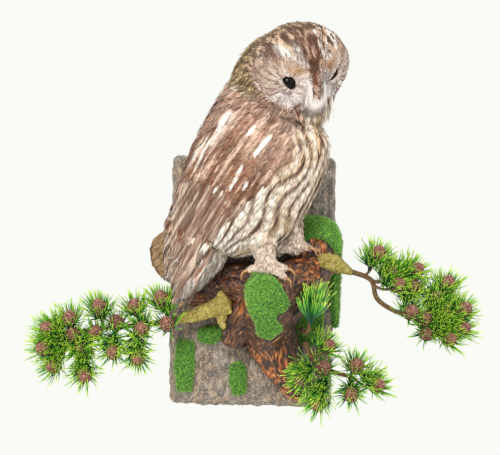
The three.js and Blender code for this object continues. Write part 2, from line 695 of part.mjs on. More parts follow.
function put(name, body, finish) {
  const settled = largestPiece(solid(geometryOf(body), SLIVER));
  const mesh = new THREE.Mesh(geometryOf(settled), new THREE.MeshStandardMaterial(FINISH[finish]));
  mesh.name = name;
  model.add(mesh);
}

const inOwl = (body) => move(body, owlPlace);
const inHead = (body) => move(move(body, headPlace), owlPlace);

const plaqueSolid = plaque();
const plaqueRoom = plaque(GAP);
const rootSolid = driftwood();
const rootRoom = driftwood(GAP);

function buildPlaqueAndRoot() {
  put('plaque', plaqueSolid, 'bark');
  put('root', cutAll(rootSolid, [plaqueRoom, ...footRooms]), 'driftwood');
  for (const side of ['left', 'right']) {
    put(`lichen_stub_${side}`, cutAll(lichenStub(side), [rootRoom, plaqueRoom]), 'lichen');
  }
}

const footRooms = Object.values(FEET).flatMap((foot) => [
  inOwl(toes(foot, GAP)), ...foot.toes.map((_, i) => inOwl(talon(foot, i, GAP)))]);

const PAD_SPAN = [-190, -4];          // between which depths a pad's outline is carried

function buildMoss() {
  const bases = { root: driftwood(MOSS_DEPTH), plaque: plaque(MOSS_DEPTH) };
  const stubs = [lichenStub('left', GAP), lichenStub('right', GAP)];
  const others = [...footRooms, rootRoom, plaqueRoom, ...stubs];
  let taken = [];
  for (const [name, { on, outline }] of Object.entries(MOSS)) {
    const pad = bases[on].intersect(move(prism(outline, ...PAD_SPAN), wallLean));
    put(name, cutAll(pad, [...others, ...taken]), 'moss');
    taken = [...taken, move(prism(inset(outline, -GAP), ...PAD_SPAN), wallLean)];
  }
}

function buildOwl() {
  const head = solid(headGeometry());
  const headRoom = inHead(solid(headGeometry(GAP)));
  const sockets = [-1, 1].map((side) => ball(EYE_RADIUS + GAP, eyeCentre(side)));
  put('head', inHead(cutAll(head, [...sockets, bill(GAP)])), 'plumage');
  put('bill', inHead(bill()), 'horn');
  put('eye_right', inHead(ball(EYE_RADIUS, eyeCentre(-1))), 'eye');
  put('eye_left', inHead(ball(EYE_RADIUS, eyeCentre(1))), 'eye');
  put('neck', cutAll(inOwl(ribLoft(NECK_RIBS, 4, 0, GAP)), [headRoom]), 'plumage');
  const legRooms = Object.values(FEET).map((foot) => inOwl(leg(foot, GAP)));
  put('trunk', cutAll(inOwl(trunk()), [headRoom, ...legRooms]), 'plumage');
  put('tail', inOwl(tail()), 'plumage');
  for (const [name, side] of [['right', -1], ['left', 1]]) {
    put(`wing_${name}_coverts`, cutAll(inOwl(wingCoverts(side)), [headRoom]), 'plumage');
    put(`wing_${name}_flight`, inOwl(wingFlight(side)), 'plumage');
    const foot = FEET[name];
    put(`leg_${name}`, inOwl(leg(foot).subtract(toes(foot, GAP))), 'pale_plumage');
    const clawRooms = foot.toes.map((_, i) => talon(foot, i, GAP));
    put(`foot_${name}`, inOwl(cutAll(toes(foot), clawRooms)), 'pale_plumage');
    foot.toes.forEach((_, i) => put(`talon_${name}_${i + 1}`, inOwl(talon(foot, i)), 'claw'));
  }
}

function buildPine() {
  const tailRoom = inOwl(ribLoft(TAIL_RIBS, 5, -2 * GAP));
  const stubs = [lichenStub('left', GAP), lichenStub('right', GAP), rootRoom, plaqueRoom, tailRoom];
  for (const [name, bough] of Object.entries(BOUGHS)) {
    const twigRoom = boughTwig(bough, GAP);
    put(`pine_${name}_twig`, cutAll(boughTwig(bough), stubs), 'twig');
    put(`pine_${name}_tufts`, cutAll(boughTufts(bough), [twigRoom, ...stubs]), 'needles');
  }
  put('pine_tuft_twig', cutAll(limb(leaned(TUFT_TWIG)), stubs), 'twig');
  put('pine_tuft_needles', cutAll(limb(leaned(TUFT_CUP), { sides: 10, steps: 5 }),
    [limb(leaned(TUFT_TWIG), { grow: GAP }), ...stubs]), 'needles');
}

buildPlaqueAndRoot();
buildMoss();
buildOwl();
buildPine();

export default model;
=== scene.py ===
"""The looks of a mounted tawny owl, built round its solid parts in metres.

One skin replaces the bird's solids and carries its plumage, vane by vane and lock by lock.
The glass eyes, horn bill and claws, the bark plaque, the varnished driftwood, the lichen,
the moss and the artificial pine are pieces of their own.
"""
import math

import bpy
import numpy as np
from mathutils import Matrix, Vector
from mathutils.bvhtree import BVHTree
from mathutils.kdtree import KDTree


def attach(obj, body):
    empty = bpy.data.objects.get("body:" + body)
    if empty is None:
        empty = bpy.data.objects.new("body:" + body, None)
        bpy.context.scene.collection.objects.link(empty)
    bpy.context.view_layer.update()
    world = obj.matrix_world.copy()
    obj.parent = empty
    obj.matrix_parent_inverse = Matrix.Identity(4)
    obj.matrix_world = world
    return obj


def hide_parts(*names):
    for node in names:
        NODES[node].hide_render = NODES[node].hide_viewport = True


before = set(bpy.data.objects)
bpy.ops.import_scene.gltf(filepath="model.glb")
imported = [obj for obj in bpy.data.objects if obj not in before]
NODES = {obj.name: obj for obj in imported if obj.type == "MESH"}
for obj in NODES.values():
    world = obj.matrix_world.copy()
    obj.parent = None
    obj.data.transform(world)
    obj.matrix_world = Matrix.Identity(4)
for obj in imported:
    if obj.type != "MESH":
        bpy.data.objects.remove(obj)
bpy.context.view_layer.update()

# ---------------------------------------------------------------- driving dimensions
MM = 0.001
HANGING_LEAN = math.radians(-1.3)
LEAN_PIVOT = Vector((-5, 0, 72)) * MM
PERCH = Vector((32, -117, 32)) * MM
BODY_YAW = math.radians(-18)
HEAD_CENTRE = Vector((25, 0, 234)) * MM
HEAD_YAW = math.radians(-44)
HEAD_PITCH = math.radians(38)
HEAD_ROLL = math.radians(16)

EYE = (30, 28.5, 8.5)                 # centre of the left eye in the head, in mm
EYE_RADIUS = 11
DISC_CENTRE = (32, 10)                # a facial disc, across and up
DISC_SIZE = (29, 32)

LEAN = (Matrix.Translation(LEAN_PIVOT) @ Matrix.Rotation(HANGING_LEAN, 4, "Y")
        @ Matrix.Translation(-LEAN_PIVOT))
OWL = LEAN @ Matrix.Translation(PERCH) @ Matrix.Rotation(BODY_YAW, 4, "Z")
HEAD = (OWL @ Matrix.Translation(HEAD_CENTRE) @ Matrix.Rotation(HEAD_YAW, 4, "Z")
        @ Matrix.Rotation(HEAD_PITCH, 4, "Y") @ Matrix.Rotation(HEAD_ROLL, 4, "X"))


def into(place, points):
    """World points in metres to a frame's own millimetres."""
    inverse = np.array(place.inverted())
    return (points @ inverse[:3, :3].T + inverse[:3, 3]) / MM


def outof(place, points):
    """A frame's own millimetres to world points in metres."""
    matrix = np.array(place)
    return (np.asarray(points, float) * MM) @ matrix[:3, :3].T + matrix[:3, 3]


def turned(place, vectors):
    """Directions of a frame as directions in the world."""
    return vectors @ np.array(place)[:3, :3].T


# ---------------------------------------------------------------- camera, light and floor
CAMERA_PLACE = Vector((-5, -1500, 72)) * MM
CAMERA_ROLL = math.radians(-1.3)
FRAME_WIDTH_PX = 500
FOCAL_PX = 1112
SENSOR_MM = 36


def linear(hex_colour):
    """An sRGB hex colour as linear red, green, blue, alpha."""
    parts = [int(hex_colour[i:i + 2], 16) / 255 for i in (1, 3, 5)]
    return (*[c / 12.92 if c <= 0.04045 else ((c + 0.055) / 1.055) ** 2.4 for c in parts], 1.0)


def shade(hex_colour):
    return np.array(linear(hex_colour)[:3])


def make_camera():
    data = bpy.data.cameras.new("studio_camera")
    data.sensor_width = SENSOR_MM
    data.lens = FOCAL_PX / FRAME_WIDTH_PX * SENSOR_MM
    data.clip_end = 20
    camera = bpy.data.objects.new("studio_camera", data)
    camera.matrix_world = (Matrix.Translation(CAMERA_PLACE) @ Matrix.Rotation(CAMERA_ROLL, 4, "Y")
                           @ Matrix.Rotation(math.pi / 2, 4, "X"))
    bpy.context.scene.collection.objects.link(camera)
    bpy.context.scene.camera = camera


def make_light(name, place, size, watts, tint):
    data = bpy.data.lights.new(name, "AREA")
    data.size = size
    data.energy = watts
    data.color = linear(tint)[:3]
    lamp = bpy.data.objects.new(name, data)
    lamp.location = place
    aim = Vector((0, -0.08, 0.05)) - Vector(place)
    lamp.rotation_euler = aim.to_track_quat("-Z", "Y").to_euler()
    bpy.context.scene.collection.objects.link(lamp)


def make_studio():
    world = bpy.data.worlds.new("studio")
    world.use_nodes = True
    backdrop = world.node_tree.nodes["Background"]
    backdrop.inputs["Color"].default_value = linear("#fafbf6")
    backdrop.inputs["Strength"].default_value = 1.0
    bpy.context.scene.world = world
    bpy.context.scene.view_settings.view_transform = "Standard"
    make_light("key", (-0.5, -1.7, 0.75), 0.5, 25, "#fffaf4")
    make_light("fill", (1.1, -1.2, 0.3), 1.2, 4, "#f4f8ff")


FLOOR_DROP = -0.46
FLOOR_RADIUS = 0.9


def make_floor():
    sides = 96
    turn = np.linspace(0, 2 * math.pi, sides, endpoint=False)
    rim = np.stack([FLOOR_RADIUS * np.cos(turn), FLOOR_RADIUS * np.sin(turn) - 0.2,
                    np.full(sides, FLOOR_DROP)], 1)
    mesh = bpy.data.meshes.new("studio_floor")
    mesh.from_pydata(rim.tolist(), [], [list(range(sides))])
    floor = bpy.data.objects.new("studio_floor", mesh)
    bpy.context.scene.collection.objects.link(floor)
    floor.data.materials.append(plain_paint("pale_floor_paint", "#e9ece8", 0.8))


# ---------------------------------------------------------------- meshes
def make_mesh(name, points, faces):
    """An object of its own from arrays of points and of faces with equal corner counts."""
    points = np.asarray(points, np.float32)
    faces = np.asarray(faces, np.int32)
    mesh = bpy.data.meshes.new(name)
    mesh.vertices.add(len(points))
    mesh.vertices.foreach_set("co", points.ravel())
    mesh.loops.add(faces.size)
    mesh.loops.foreach_set("vertex_index", faces.ravel())
    mesh.polygons.add(len(faces))
    mesh.polygons.foreach_set("loop_start", np.arange(0, faces.size, faces.shape[1], dtype=np.int32))
    mesh.update(calc_edges=True)
    piece = bpy.data.objects.new(name, mesh)
    bpy.context.scene.collection.objects.link(piece)
    return piece


def points_of(obj):
    flat = np.empty(len(obj.data.vertices) * 3, np.float32)
    obj.data.vertices.foreach_get("co", flat)
    return flat.reshape(-1, 3).astype(float)


def triangles_of(obj):
    obj.data.calc_loop_triangles()
    flat = np.empty(len(obj.data.loop_triangles) * 3, np.int32)
    obj.data.loop_triangles.foreach_get("vertices", flat)
    return flat.reshape(-1, 3)


def point_normals(points, faces):
    """Area-weighted normals at the points of a triangle mesh."""
    normals = np.zeros_like(points)
    across = np.cross(points[faces[:, 1]] - points[faces[:, 0]], points[faces[:, 2]] - points[faces[:, 0]])
    for corner in range(3):
        for axis in range(3):
            normals[:, axis] += np.bincount(faces[:, corner], across[:, axis], len(points))
    return unit(normals)


def unit(vectors):
    return vectors / np.maximum(np.linalg.norm(vectors, axis=-1, keepdims=True), 1e-12)


def merged_node(name):
    """A CAD node's points and triangles with its doubled points made one."""
    points = points_of(NODES[name])
    keys, index = np.unique(np.round(points / (0.01 * MM)).astype(int), axis=0, return_inverse=True)
    faces = index.reshape(-1)[triangles_of(NODES[name])]
    first = np.zeros(len(keys), int)
    first[index.reshape(-1)] = np.arange(len(points))
    kept = (faces[:, 0] != faces[:, 1]) & (faces[:, 1] != faces[:, 2]) & (faces[:, 2] != faces[:, 0])
    return points[first], faces[kept]


def joined_nodes(label, names, grow):
    """The named CAD nodes in one mesh, each grown a little so that touching ones run together."""
    all_points, all_faces, count = [], [], 0
    for name in names:
        points, faces = merged_node(name)
        all_points.append(points + point_normals(points, faces) * grow)
        all_faces.append(faces + count)
        count += len(points)
    return make_mesh(label, np.concatenate(all_points), np.concatenate(all_faces))


def settled(obj):
    """Applies an object's modifiers and removes them."""
    graph = bpy.context.evaluated_depsgraph_get()
    mesh = bpy.data.meshes.new_from_object(obj.evaluated_get(graph))
    obj.modifiers.clear()
    old = obj.data
    obj.data = mesh
    bpy.data.meshes.remove(old)
    return obj


def remeshed(obj, voxel, smooth_rounds, factor=0.5):
    cells = obj.modifiers.new("cells", "REMESH")
    cells.mode = "VOXEL"
    cells.voxel_size = voxel
    smooth = obj.modifiers.new("smooth", "SMOOTH")
    smooth.factor = factor
    smooth.iterations = smooth_rounds
    return settled(obj)


def set_points(obj, points):
    obj.data.vertices.foreach_set("co", points.astype(np.float32).ravel())
    obj.data.update()


def smooth_shaded(obj):
    obj.data.polygons.foreach_set("use_smooth", [True] * len(obj.data.polygons))
    return obj


def set_colours(obj, name, colours):
    layer = obj.data.color_attributes.new(name, "FLOAT_COLOR", "POINT")
    rgba = np.ones((len(obj.data.vertices), 4), np.float32)
    rgba[:, :3] = colours
    layer.data.foreach_set("color", rgba.ravel())


def hand_over(piece, slot, *nodes):
    """Puts a finished piece on the body, in the place of its CAD nodes; its slot is not used."""
    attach(piece, "root")
    if nodes:
        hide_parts(*nodes)


# ---------------------------------------------------------------- soft noise
def noise(points, seed=0):
    """Smooth value noise between 0 and 1 at points given in cells."""
    cell = np.floor(points).astype(np.int64)
    part = points - cell
    part = part * part * (3 - 2 * part)
    total = np.zeros(len(points))
    for corner in np.ndindex(2, 2, 2):
        at = cell + np.array(corner)
        mixed = (at[:, 0] * 73856093) ^ (at[:, 1] * 19349663) ^ (at[:, 2] * 83492791) ^ (seed * 2654435761)
        mixed = (mixed ^ (mixed >> 13)) * 1274126177 & 0x7FFFFFFF
        value = ((mixed ^ (mixed >> 16)) & 0xFFFF) / 65535
        weight = np.prod(np.where(np.array(corner), part, 1 - part), axis=1)
        total += weight * value
    return total


def layered(points, seed=0):
    return (noise(points, seed) * 0.55 + noise(points * 2.1, seed + 1) * 0.3
            + noise(points * 4.3, seed + 2) * 0.15)


def ease(low, high, value):
    share = np.clip((value - low) / (high - low), 0, 1)
    return share * share * (3 - 2 * share)


def bump(value, centre, width):
    return np.exp(-((value - centre) / width) ** 2)


def mix(colours, other, share):
    share = np.asarray(share)[..., None]
    return colours * (1 - share) + other * share


# ---------------------------------------------------------------- material nodes
def add(tree, kind, links=None, **settings):
    """Adds a node: settings name its properties or, as in_NAME, its sockets; links feed its sockets."""
    node = tree.nodes.new(kind)
    for key, value in settings.items():
        if key.startswith("in_"):
            socket = key[3:]
            socket = int(socket) if socket.isdigit() else socket.replace("_", " ")
            node.inputs[socket].default_value = value
        else:
            setattr(node, key, value)
    for socket, source in (links or {}).items():
        tree.links.new(source, node.inputs[socket])
    return node


def begin_material(name, roughness, **settings):
    material = bpy.data.materials.new(name)
    material.use_nodes = True
    tree = material.node_tree
    surface = tree.nodes["Principled BSDF"]
    surface.inputs["Roughness"].default_value = roughness
    for key, value in settings.items():
        surface.inputs[key.replace("_", " ")].default_value = value
    return material, tree, surface


def plain_paint(name, colour, roughness):
    material, tree, surface = begin_material(name, roughness)
    place = add(tree, "ShaderNodeTexCoord").outputs["Object"]
    grain = add(tree, "ShaderNodeTexNoise", {"Vector": place}, in_Scale=3.0)
    ramp = colour_ramp(tree, grain.outputs["Fac"], [(0.3, colour), (0.7, colour)])
    tree.links.new(ramp, surface.inputs["Base Color"])
    return material


def colour_ramp(tree, source, stops):
    node = add(tree, "ShaderNodeValToRGB", {"Fac": source})
    elements = node.color_ramp.elements
    while len(elements) < len(stops):
        elements.new(0.5)
    for element, (place, colour) in zip(elements, stops):
        element.position = place
        element.color = linear(colour)
    return node.outputs["Color"]


def add_bump(tree, surface, height, depth_mm, strength=1.0, below=None):
    links = {"Height": height}
    if below is not None:
        links["Normal"] = below
    node = add(tree, "ShaderNodeBump", links, in_Distance=depth_mm * MM, in_Strength=strength)
    tree.links.new(node.outputs["Normal"], surface.inputs["Normal"])
    return node.outputs["Normal"]


def per_mm(size_mm):
    """A texture scale whose features are about this many millimetres."""
    return 1 / (size_mm * MM)


# ---------------------------------------------------------------- where a point of the bird is
FLESH = ["head", "neck", "trunk", "tail", "wing_right_coverts", "wing_right_flight",
         "wing_left_coverts", "wing_left_flight", "leg_right", "leg_left", "foot_right", "foot_left"]
HEAD_ZONE, NECK, TRUNK, TAIL = 0, 1, 2, 3
COVERTS, FLIGHT, LEGS, FEET = (4, 6), (5, 7), (8, 9), (10, 11)

BODY_TOP = np.array([0, 0, 190.0])
BODY_AXIS = unit(np.array([-120.0, 0, -210.0]))
BODY_FORWARD = np.array([-BODY_AXIS[2], 0, BODY_AXIS[0]])
WING_LIE = unit(np.array([-0.62, 0, -0.785]))


class Places:
    """Where points of the bird lie: in the owl, in the head, round the body and in the facial disc."""

    def __init__(self, points, zone):
        self.points = points
        self.zone = zone
        self.owl = into(OWL, points)
        self.head = into(HEAD, points)
        off = self.owl - BODY_TOP
        self.along = off @ BODY_AXIS
        self.forward = off @ BODY_FORWARD
        self.round = np.degrees(np.arctan2(self.owl[:, 1], self.forward))
        self.side = np.where(self.head[:, 1] < 0, -1.0, 1.0)
        self.eye = np.stack([np.full(len(points), EYE[0]), self.side * EYE[1], np.full(len(points), EYE[2])], 1)
        across = (np.abs(self.head[:, 1]) - DISC_CENTRE[0]) / DISC_SIZE[0]
        up = (self.head[:, 2] - DISC_CENTRE[1]) / DISC_SIZE[1]
        self.out = np.where(self.head[:, 0] > -8, np.hypot(across, up), 3.0)
        throat = self.among((NECK, TRUNK)) & (self.out < 0.98) & (self.head[:, 0] > 16)
        self.facial = (zone == HEAD_ZONE) | throat
        self.down = self.owl[:, [0, 2]] @ WING_LIE[[0, 2]]
        self.fore = self.owl[:, [0, 2]] @ np.array([-WING_LIE[2], WING_LIE[0]])

    def among(self, zones):
        return np.isin(self.zone, zones)


class ZoneFinder:
    """Tells which CAD node of the bird is nearest."""

    def __init__(self):
        points, faces, labels, count = [], [], [], 0
        for label, name in enumerate(FLESH):
            node_points, node_faces = merged_node(name)
            points.append(node_points)
            faces.append(node_faces + count)
            labels += [label] * len(node_faces)
            count += len(node_points)
        self.tree = BVHTree.FromPolygons(np.concatenate(points).tolist(), np.concatenate(faces).tolist())
        self.labels = np.array(labels)

    def __call__(self, points):
        hits = [self.tree.find_nearest(Vector(p))[2] for p in points]
        return self.labels[np.array(hits)]


TAIL_LIE = unit(np.array([-0.5, 0, -0.866]))
BILL_ROOT = np.array([52, -2, 9.0])
FOOT_MIDDLE = {"right": (-10, -24, -12), "left": (12, 24, 11)}


def hanging_share(place):
    """How far the coat under the chin hangs straight down over the neck."""
    low = ease(-8, -18, place.head[:, 2]) * ease(0.9, 1.06, place.out) * ease(2, 14, place.head[:, 0])
    return low * (place.zone == HEAD_ZONE)


def lie(place):
    """The way the coat lies at each point, as directions in the world."""
    count = len(place.points)
    body = np.tile(BODY_AXIS, (count, 1))
    lower = ease(150, 215, place.along)[:, None]
    body = body * (1 - lower) + np.array([-0.25, 0, -0.97]) * lower
    body[place.among(COVERTS)] = WING_LIE
    body[place.among(FLIGHT)] = WING_LIE
    body[place.zone == TAIL] = TAIL_LIE
    body[place.among(LEGS)] = (0.1, 0, -1)
    for name, middle in FOOT_MIDDLE.items():
        mine = place.zone == FLESH.index("foot_" + name)
        body[mine] = unit((place.owl[mine] - middle) * (1, 1, 0.3) + np.array([0.5, 0, -3.0]))
    world = turned(OWL, unit(body))
    back = unit(place.head - BILL_ROOT)
    nape = ease(8, -34, place.head[:, 0])[:, None]
    back = back * (1 - nape) + np.array([-0.45, 0, -0.89]) * nape
    from_eye = unit(place.head - place.eye)
    loral = (ease(10, 0, place.head[:, 2]) * ease(36, 24, np.abs(place.head[:, 1])))[:, None]
    from_eye = unit(from_eye * (1 - loral) + back * loral)
    disc = (1 - ease(0.92, 1.12, place.out))[:, None]
    crown = turned(HEAD, unit(from_eye * disc + back * (1 - disc)))
    world[place.facial] = crown[place.facial]
    hanging = hanging_share(place)[:, None]
    return unit(world * (1 - hanging) + np.array([0.1, -0.1, -1.0]) * hanging)


# ---------------------------------------------------------------- plumage
# Feathers of each region, in mm: length, spread, spacing of their roots, and height of their tips.
FEATHER_SIZES = {
    "face": (8.5, 3.4, 1.85, 2.3),
    "rim": (6, 3.4, 2.0, 3.4),
    "crown": (8, 4.2, 2.2, 3.8),
    "nape": (12, 6, 2.8, 5),
    "neck": (16, 7, 3.3, 6),
    "chin": (24, 5, 2.4, 8),
    "vent": (30, 7, 3.4, 9),
    "breast": (26, 8, 3.6, 5),
    "back": (24, 12, 4.8, 5),
    "scapular": (30, 11, 4.6, 3.6),
    "coverts": (24, 9, 4.2, 2.8),
    "flight": (18, 9, 5, 2),
    "tail": (26, 6, 3.4, 7),
    "leg": (14, 4.0, 2.3, 3),
    "foot": (6, 2.8, 1.9, 2),
}


def feather_sizes(place):
    """Length, spread, spacing and tip height, in metres, for feathers rooted at the places."""
    table = np.tile(np.array(FEATHER_SIZES["breast"], float), (len(place.points), 1))
    chosen = [
        ("back", (place.zone == TRUNK) & (np.abs(place.round) > 100)),
        ("neck", place.zone == NECK),
        ("vent", (place.zone == TRUNK) & (place.along > 200)),
        ("coverts", place.among(COVERTS)),
        ("scapular", place.among(COVERTS) & (place.down < -62)),
        ("flight", place.among(FLIGHT)),
        ("tail", place.zone == TAIL),
        ("leg", place.among(LEGS)),
        ("foot", place.among(FEET)),
        ("crown", place.zone == HEAD_ZONE),
        ("nape", (place.zone == HEAD_ZONE) & (place.head[:, 0] < -12)),
        ("rim", place.facial & (place.out < 1.24)),
        ("face", place.facial & (place.out < 0.95)),
        ("chin", hanging_share(place) > 0.5),
    ]
    for name, mask in chosen:
        table[mask] = FEATHER_SIZES[name]
    return table.T * MM


# The colours of the plumage.
WARM_BROWN = shade("#8e6b57")
DARK_BROWN = shade("#4a2c1e")
STREAK_BROWN = shade("#4c2f22")
RUSTY = shade("#a2664a")
CREAM = shade("#ecd9c6")
GOLDEN = shade("#d6b27e")
BUFF = shade("#dcc3a8")
PINK_BUFF = shade("#e2c6b4")
OLIVE_BUFF = shade("#cbb189")
OLIVE_BROWN = shade("#93795a")
PALE_FLECK = shade("#e0c0a6")
CROWN_BROWN = shade("#4a2716")
DISC_GREY = shade("#d2c1b8")
LILAC = shade("#efe6e8")
WHITE = shade("#fdf6f0")
GREY_BROWN = shade("#9c877b")
LEG_CREAM = shade("#e2cfc0")
STRIPE_RED = shade("#74462f")
OCHRE = shade("#c4925f")

STREAK_STEP = 12                      # degrees round the breast between its dark streaks
# White drops on the wing: x, z in the owl, half length and half width, all in mm.
WING_DROPS = [(-18, 155, 8, 2.8), (-1, 141, 13, 3), (-9, 130, 7, 2.6), (-30, 109, 6, 2.2), (-36, 97, 5, 2.2),
              (-41, 89, 5, 2), (-24, 90, 5, 2), (-64, 85, 5, 2), (-55, 79, 5, 2)]
PALE_BAND = (-149, -106, -36)         # its place across the wing, and where it starts and ends along it
SHADE_UNDER_FACE = (34, -30, 168)           # painted shade: the dark patch under the face, in the owl


def base_of(place, colour):
    return np.tile(colour, (len(place.points), 1))


def breast_colour(place, across, jitter):
    """Cream with gold by the wing, under thin wavering dark streaks that run down the breast, and painted shade under
    the face.
    """
    grain = np.stack([place.along / 30, place.round / 16, place.along * 0], 1)
    gold = ease(-26, -42, place.round) * ease(25, 60, place.along) * ease(165, 120, place.along)
    gold = np.maximum(gold * 0.8, ease(0.45, 0.7, noise(grain, 4)) * 0.6)
    colour = mix(base_of(place, CREAM), GOLDEN, gold)
    colour = mix(colour, PINK_BUFF, ease(0.45, 0.7, noise(grain * 1.7, 8)) * 0.5)
    drift = noise(np.stack([place.along / 46, place.round / 34, place.along * 0], 1), 5) - 0.5
    wave = np.cos(2 * math.pi * (place.round / STREAK_STEP + 1.7 * drift + 0.1))
    breaks = noise(np.stack([place.round / 7, place.along / 22, place.along * 0], 1), 6)
    fine = noise(np.stack([place.round / 3.2, place.along / 16, place.along * 0], 1), 7)
    dark = ease(0.66, 0.92, wave + 0.5 * (fine - 0.5)) * ease(0.2, 0.36, breaks)
    soft = ease(0.2, 0.8, wave + 1.1 * (fine - 0.5)) * 0.65
    colour = mix(colour, WHITE, ease(-0.3, -0.9, wave) * 0.6)
    colour = mix(colour, WHITE, ease(-24, -44, place.round) * ease(60, 100, place.along) * 0.55)
    colour = mix(colour, WARM_BROWN, soft)
    colour = mix(colour, STREAK_BROWN, dark * 0.95)
    # painted shade: the breast darker brown under the face
    chin = np.linalg.norm(place.owl - np.array(SHADE_UNDER_FACE), axis=1)
    return mix(colour, DARK_BROWN, ease(12, 6, chin) * 0.85)


def wing_colour(place, across, along, jitter):
    """Pinkish brown in soft streaks, with dark shafts, pale edges, white drops and a pale band."""
    grain = np.stack([place.fore / 3.6, place.down / 26, place.owl[:, 1] / 12], 1)
    streak = layered(grain, 11)
    broad = layered(grain * 0.4, 12)
    colour = mix(base_of(place, WARM_BROWN), DARK_BROWN, ease(0.5, 0.62, streak) * 0.7)
    colour = mix(colour, PINK_BUFF, ease(0.46, 0.36, streak) * 0.8)
    colour = mix(colour, PINK_BUFF, ease(-50, -115, place.down) * 0.25)
    colour = mix(colour, RUSTY, ease(0.5, 0.62, broad) * 0.3)
    colour = mix(colour, DARK_BROWN, (1 - across) ** 3 * 0.5)
    colour = mix(colour, CREAM, ease(0.7, 1, across) * ease(0.45, 0.8, jitter) * 0.5)
    band = bump(place.fore, PALE_BAND[0], 8) * ease(PALE_BAND[1] - 12, PALE_BAND[1], place.down) \
        * ease(PALE_BAND[2] + 12, PALE_BAND[2], place.down)
    fine = noise(np.stack([place.fore / 2.4, place.down / 20, place.down * 0], 1), 14)
    colour = mix(colour, WHITE, band * ease(0.36, 0.55, fine) * 0.85)
    for x, z, half_length, half_width in WING_DROPS:
        down = np.array([x, z]) @ WING_LIE[[0, 2]]
        fore = np.array([x, z]) @ np.array([-WING_LIE[2], WING_LIE[0]])
        off = np.hypot((place.down - down) / half_length, (place.fore - fore) / half_width)
        colour = mix(colour, WHITE, ease(1.15, 0.75, off) * 0.95)
    lines = noise(np.stack([place.fore / 1.5, place.down / 34, place.down * 0], 1), 15)
    flight = place.among(FLIGHT) * 1.0
    colour = mix(colour, GREY_BROWN * 0.62, flight * 0.5)
    colour = mix(colour, CREAM, flight * ease(0.66, 0.84, lines) * 0.5)
    colour = mix(colour, DARK_BROWN, flight * ease(0.44, 0.25, lines) * 0.55)
    olive = mix(base_of(place, OLIVE_BROWN), DARK_BROWN, ease(0.5, 0.7, streak) * 0.35)
    far_tip = (place.zone == 7) * ease(-92, -112, place.owl[:, 0])
    return mix(colour, olive, far_tip)


def mottled_colour(place, across, jitter, light, dark, fleck):
    """Feathers with dark middles and light edges, in the light and dark flecks given."""
    share = ease(0.42, 0.5, 0.72 * fleck + 0.16 * (1 - across) + 0.12 * jitter)
    return mix(base_of(place, light), dark, share * 0.95)


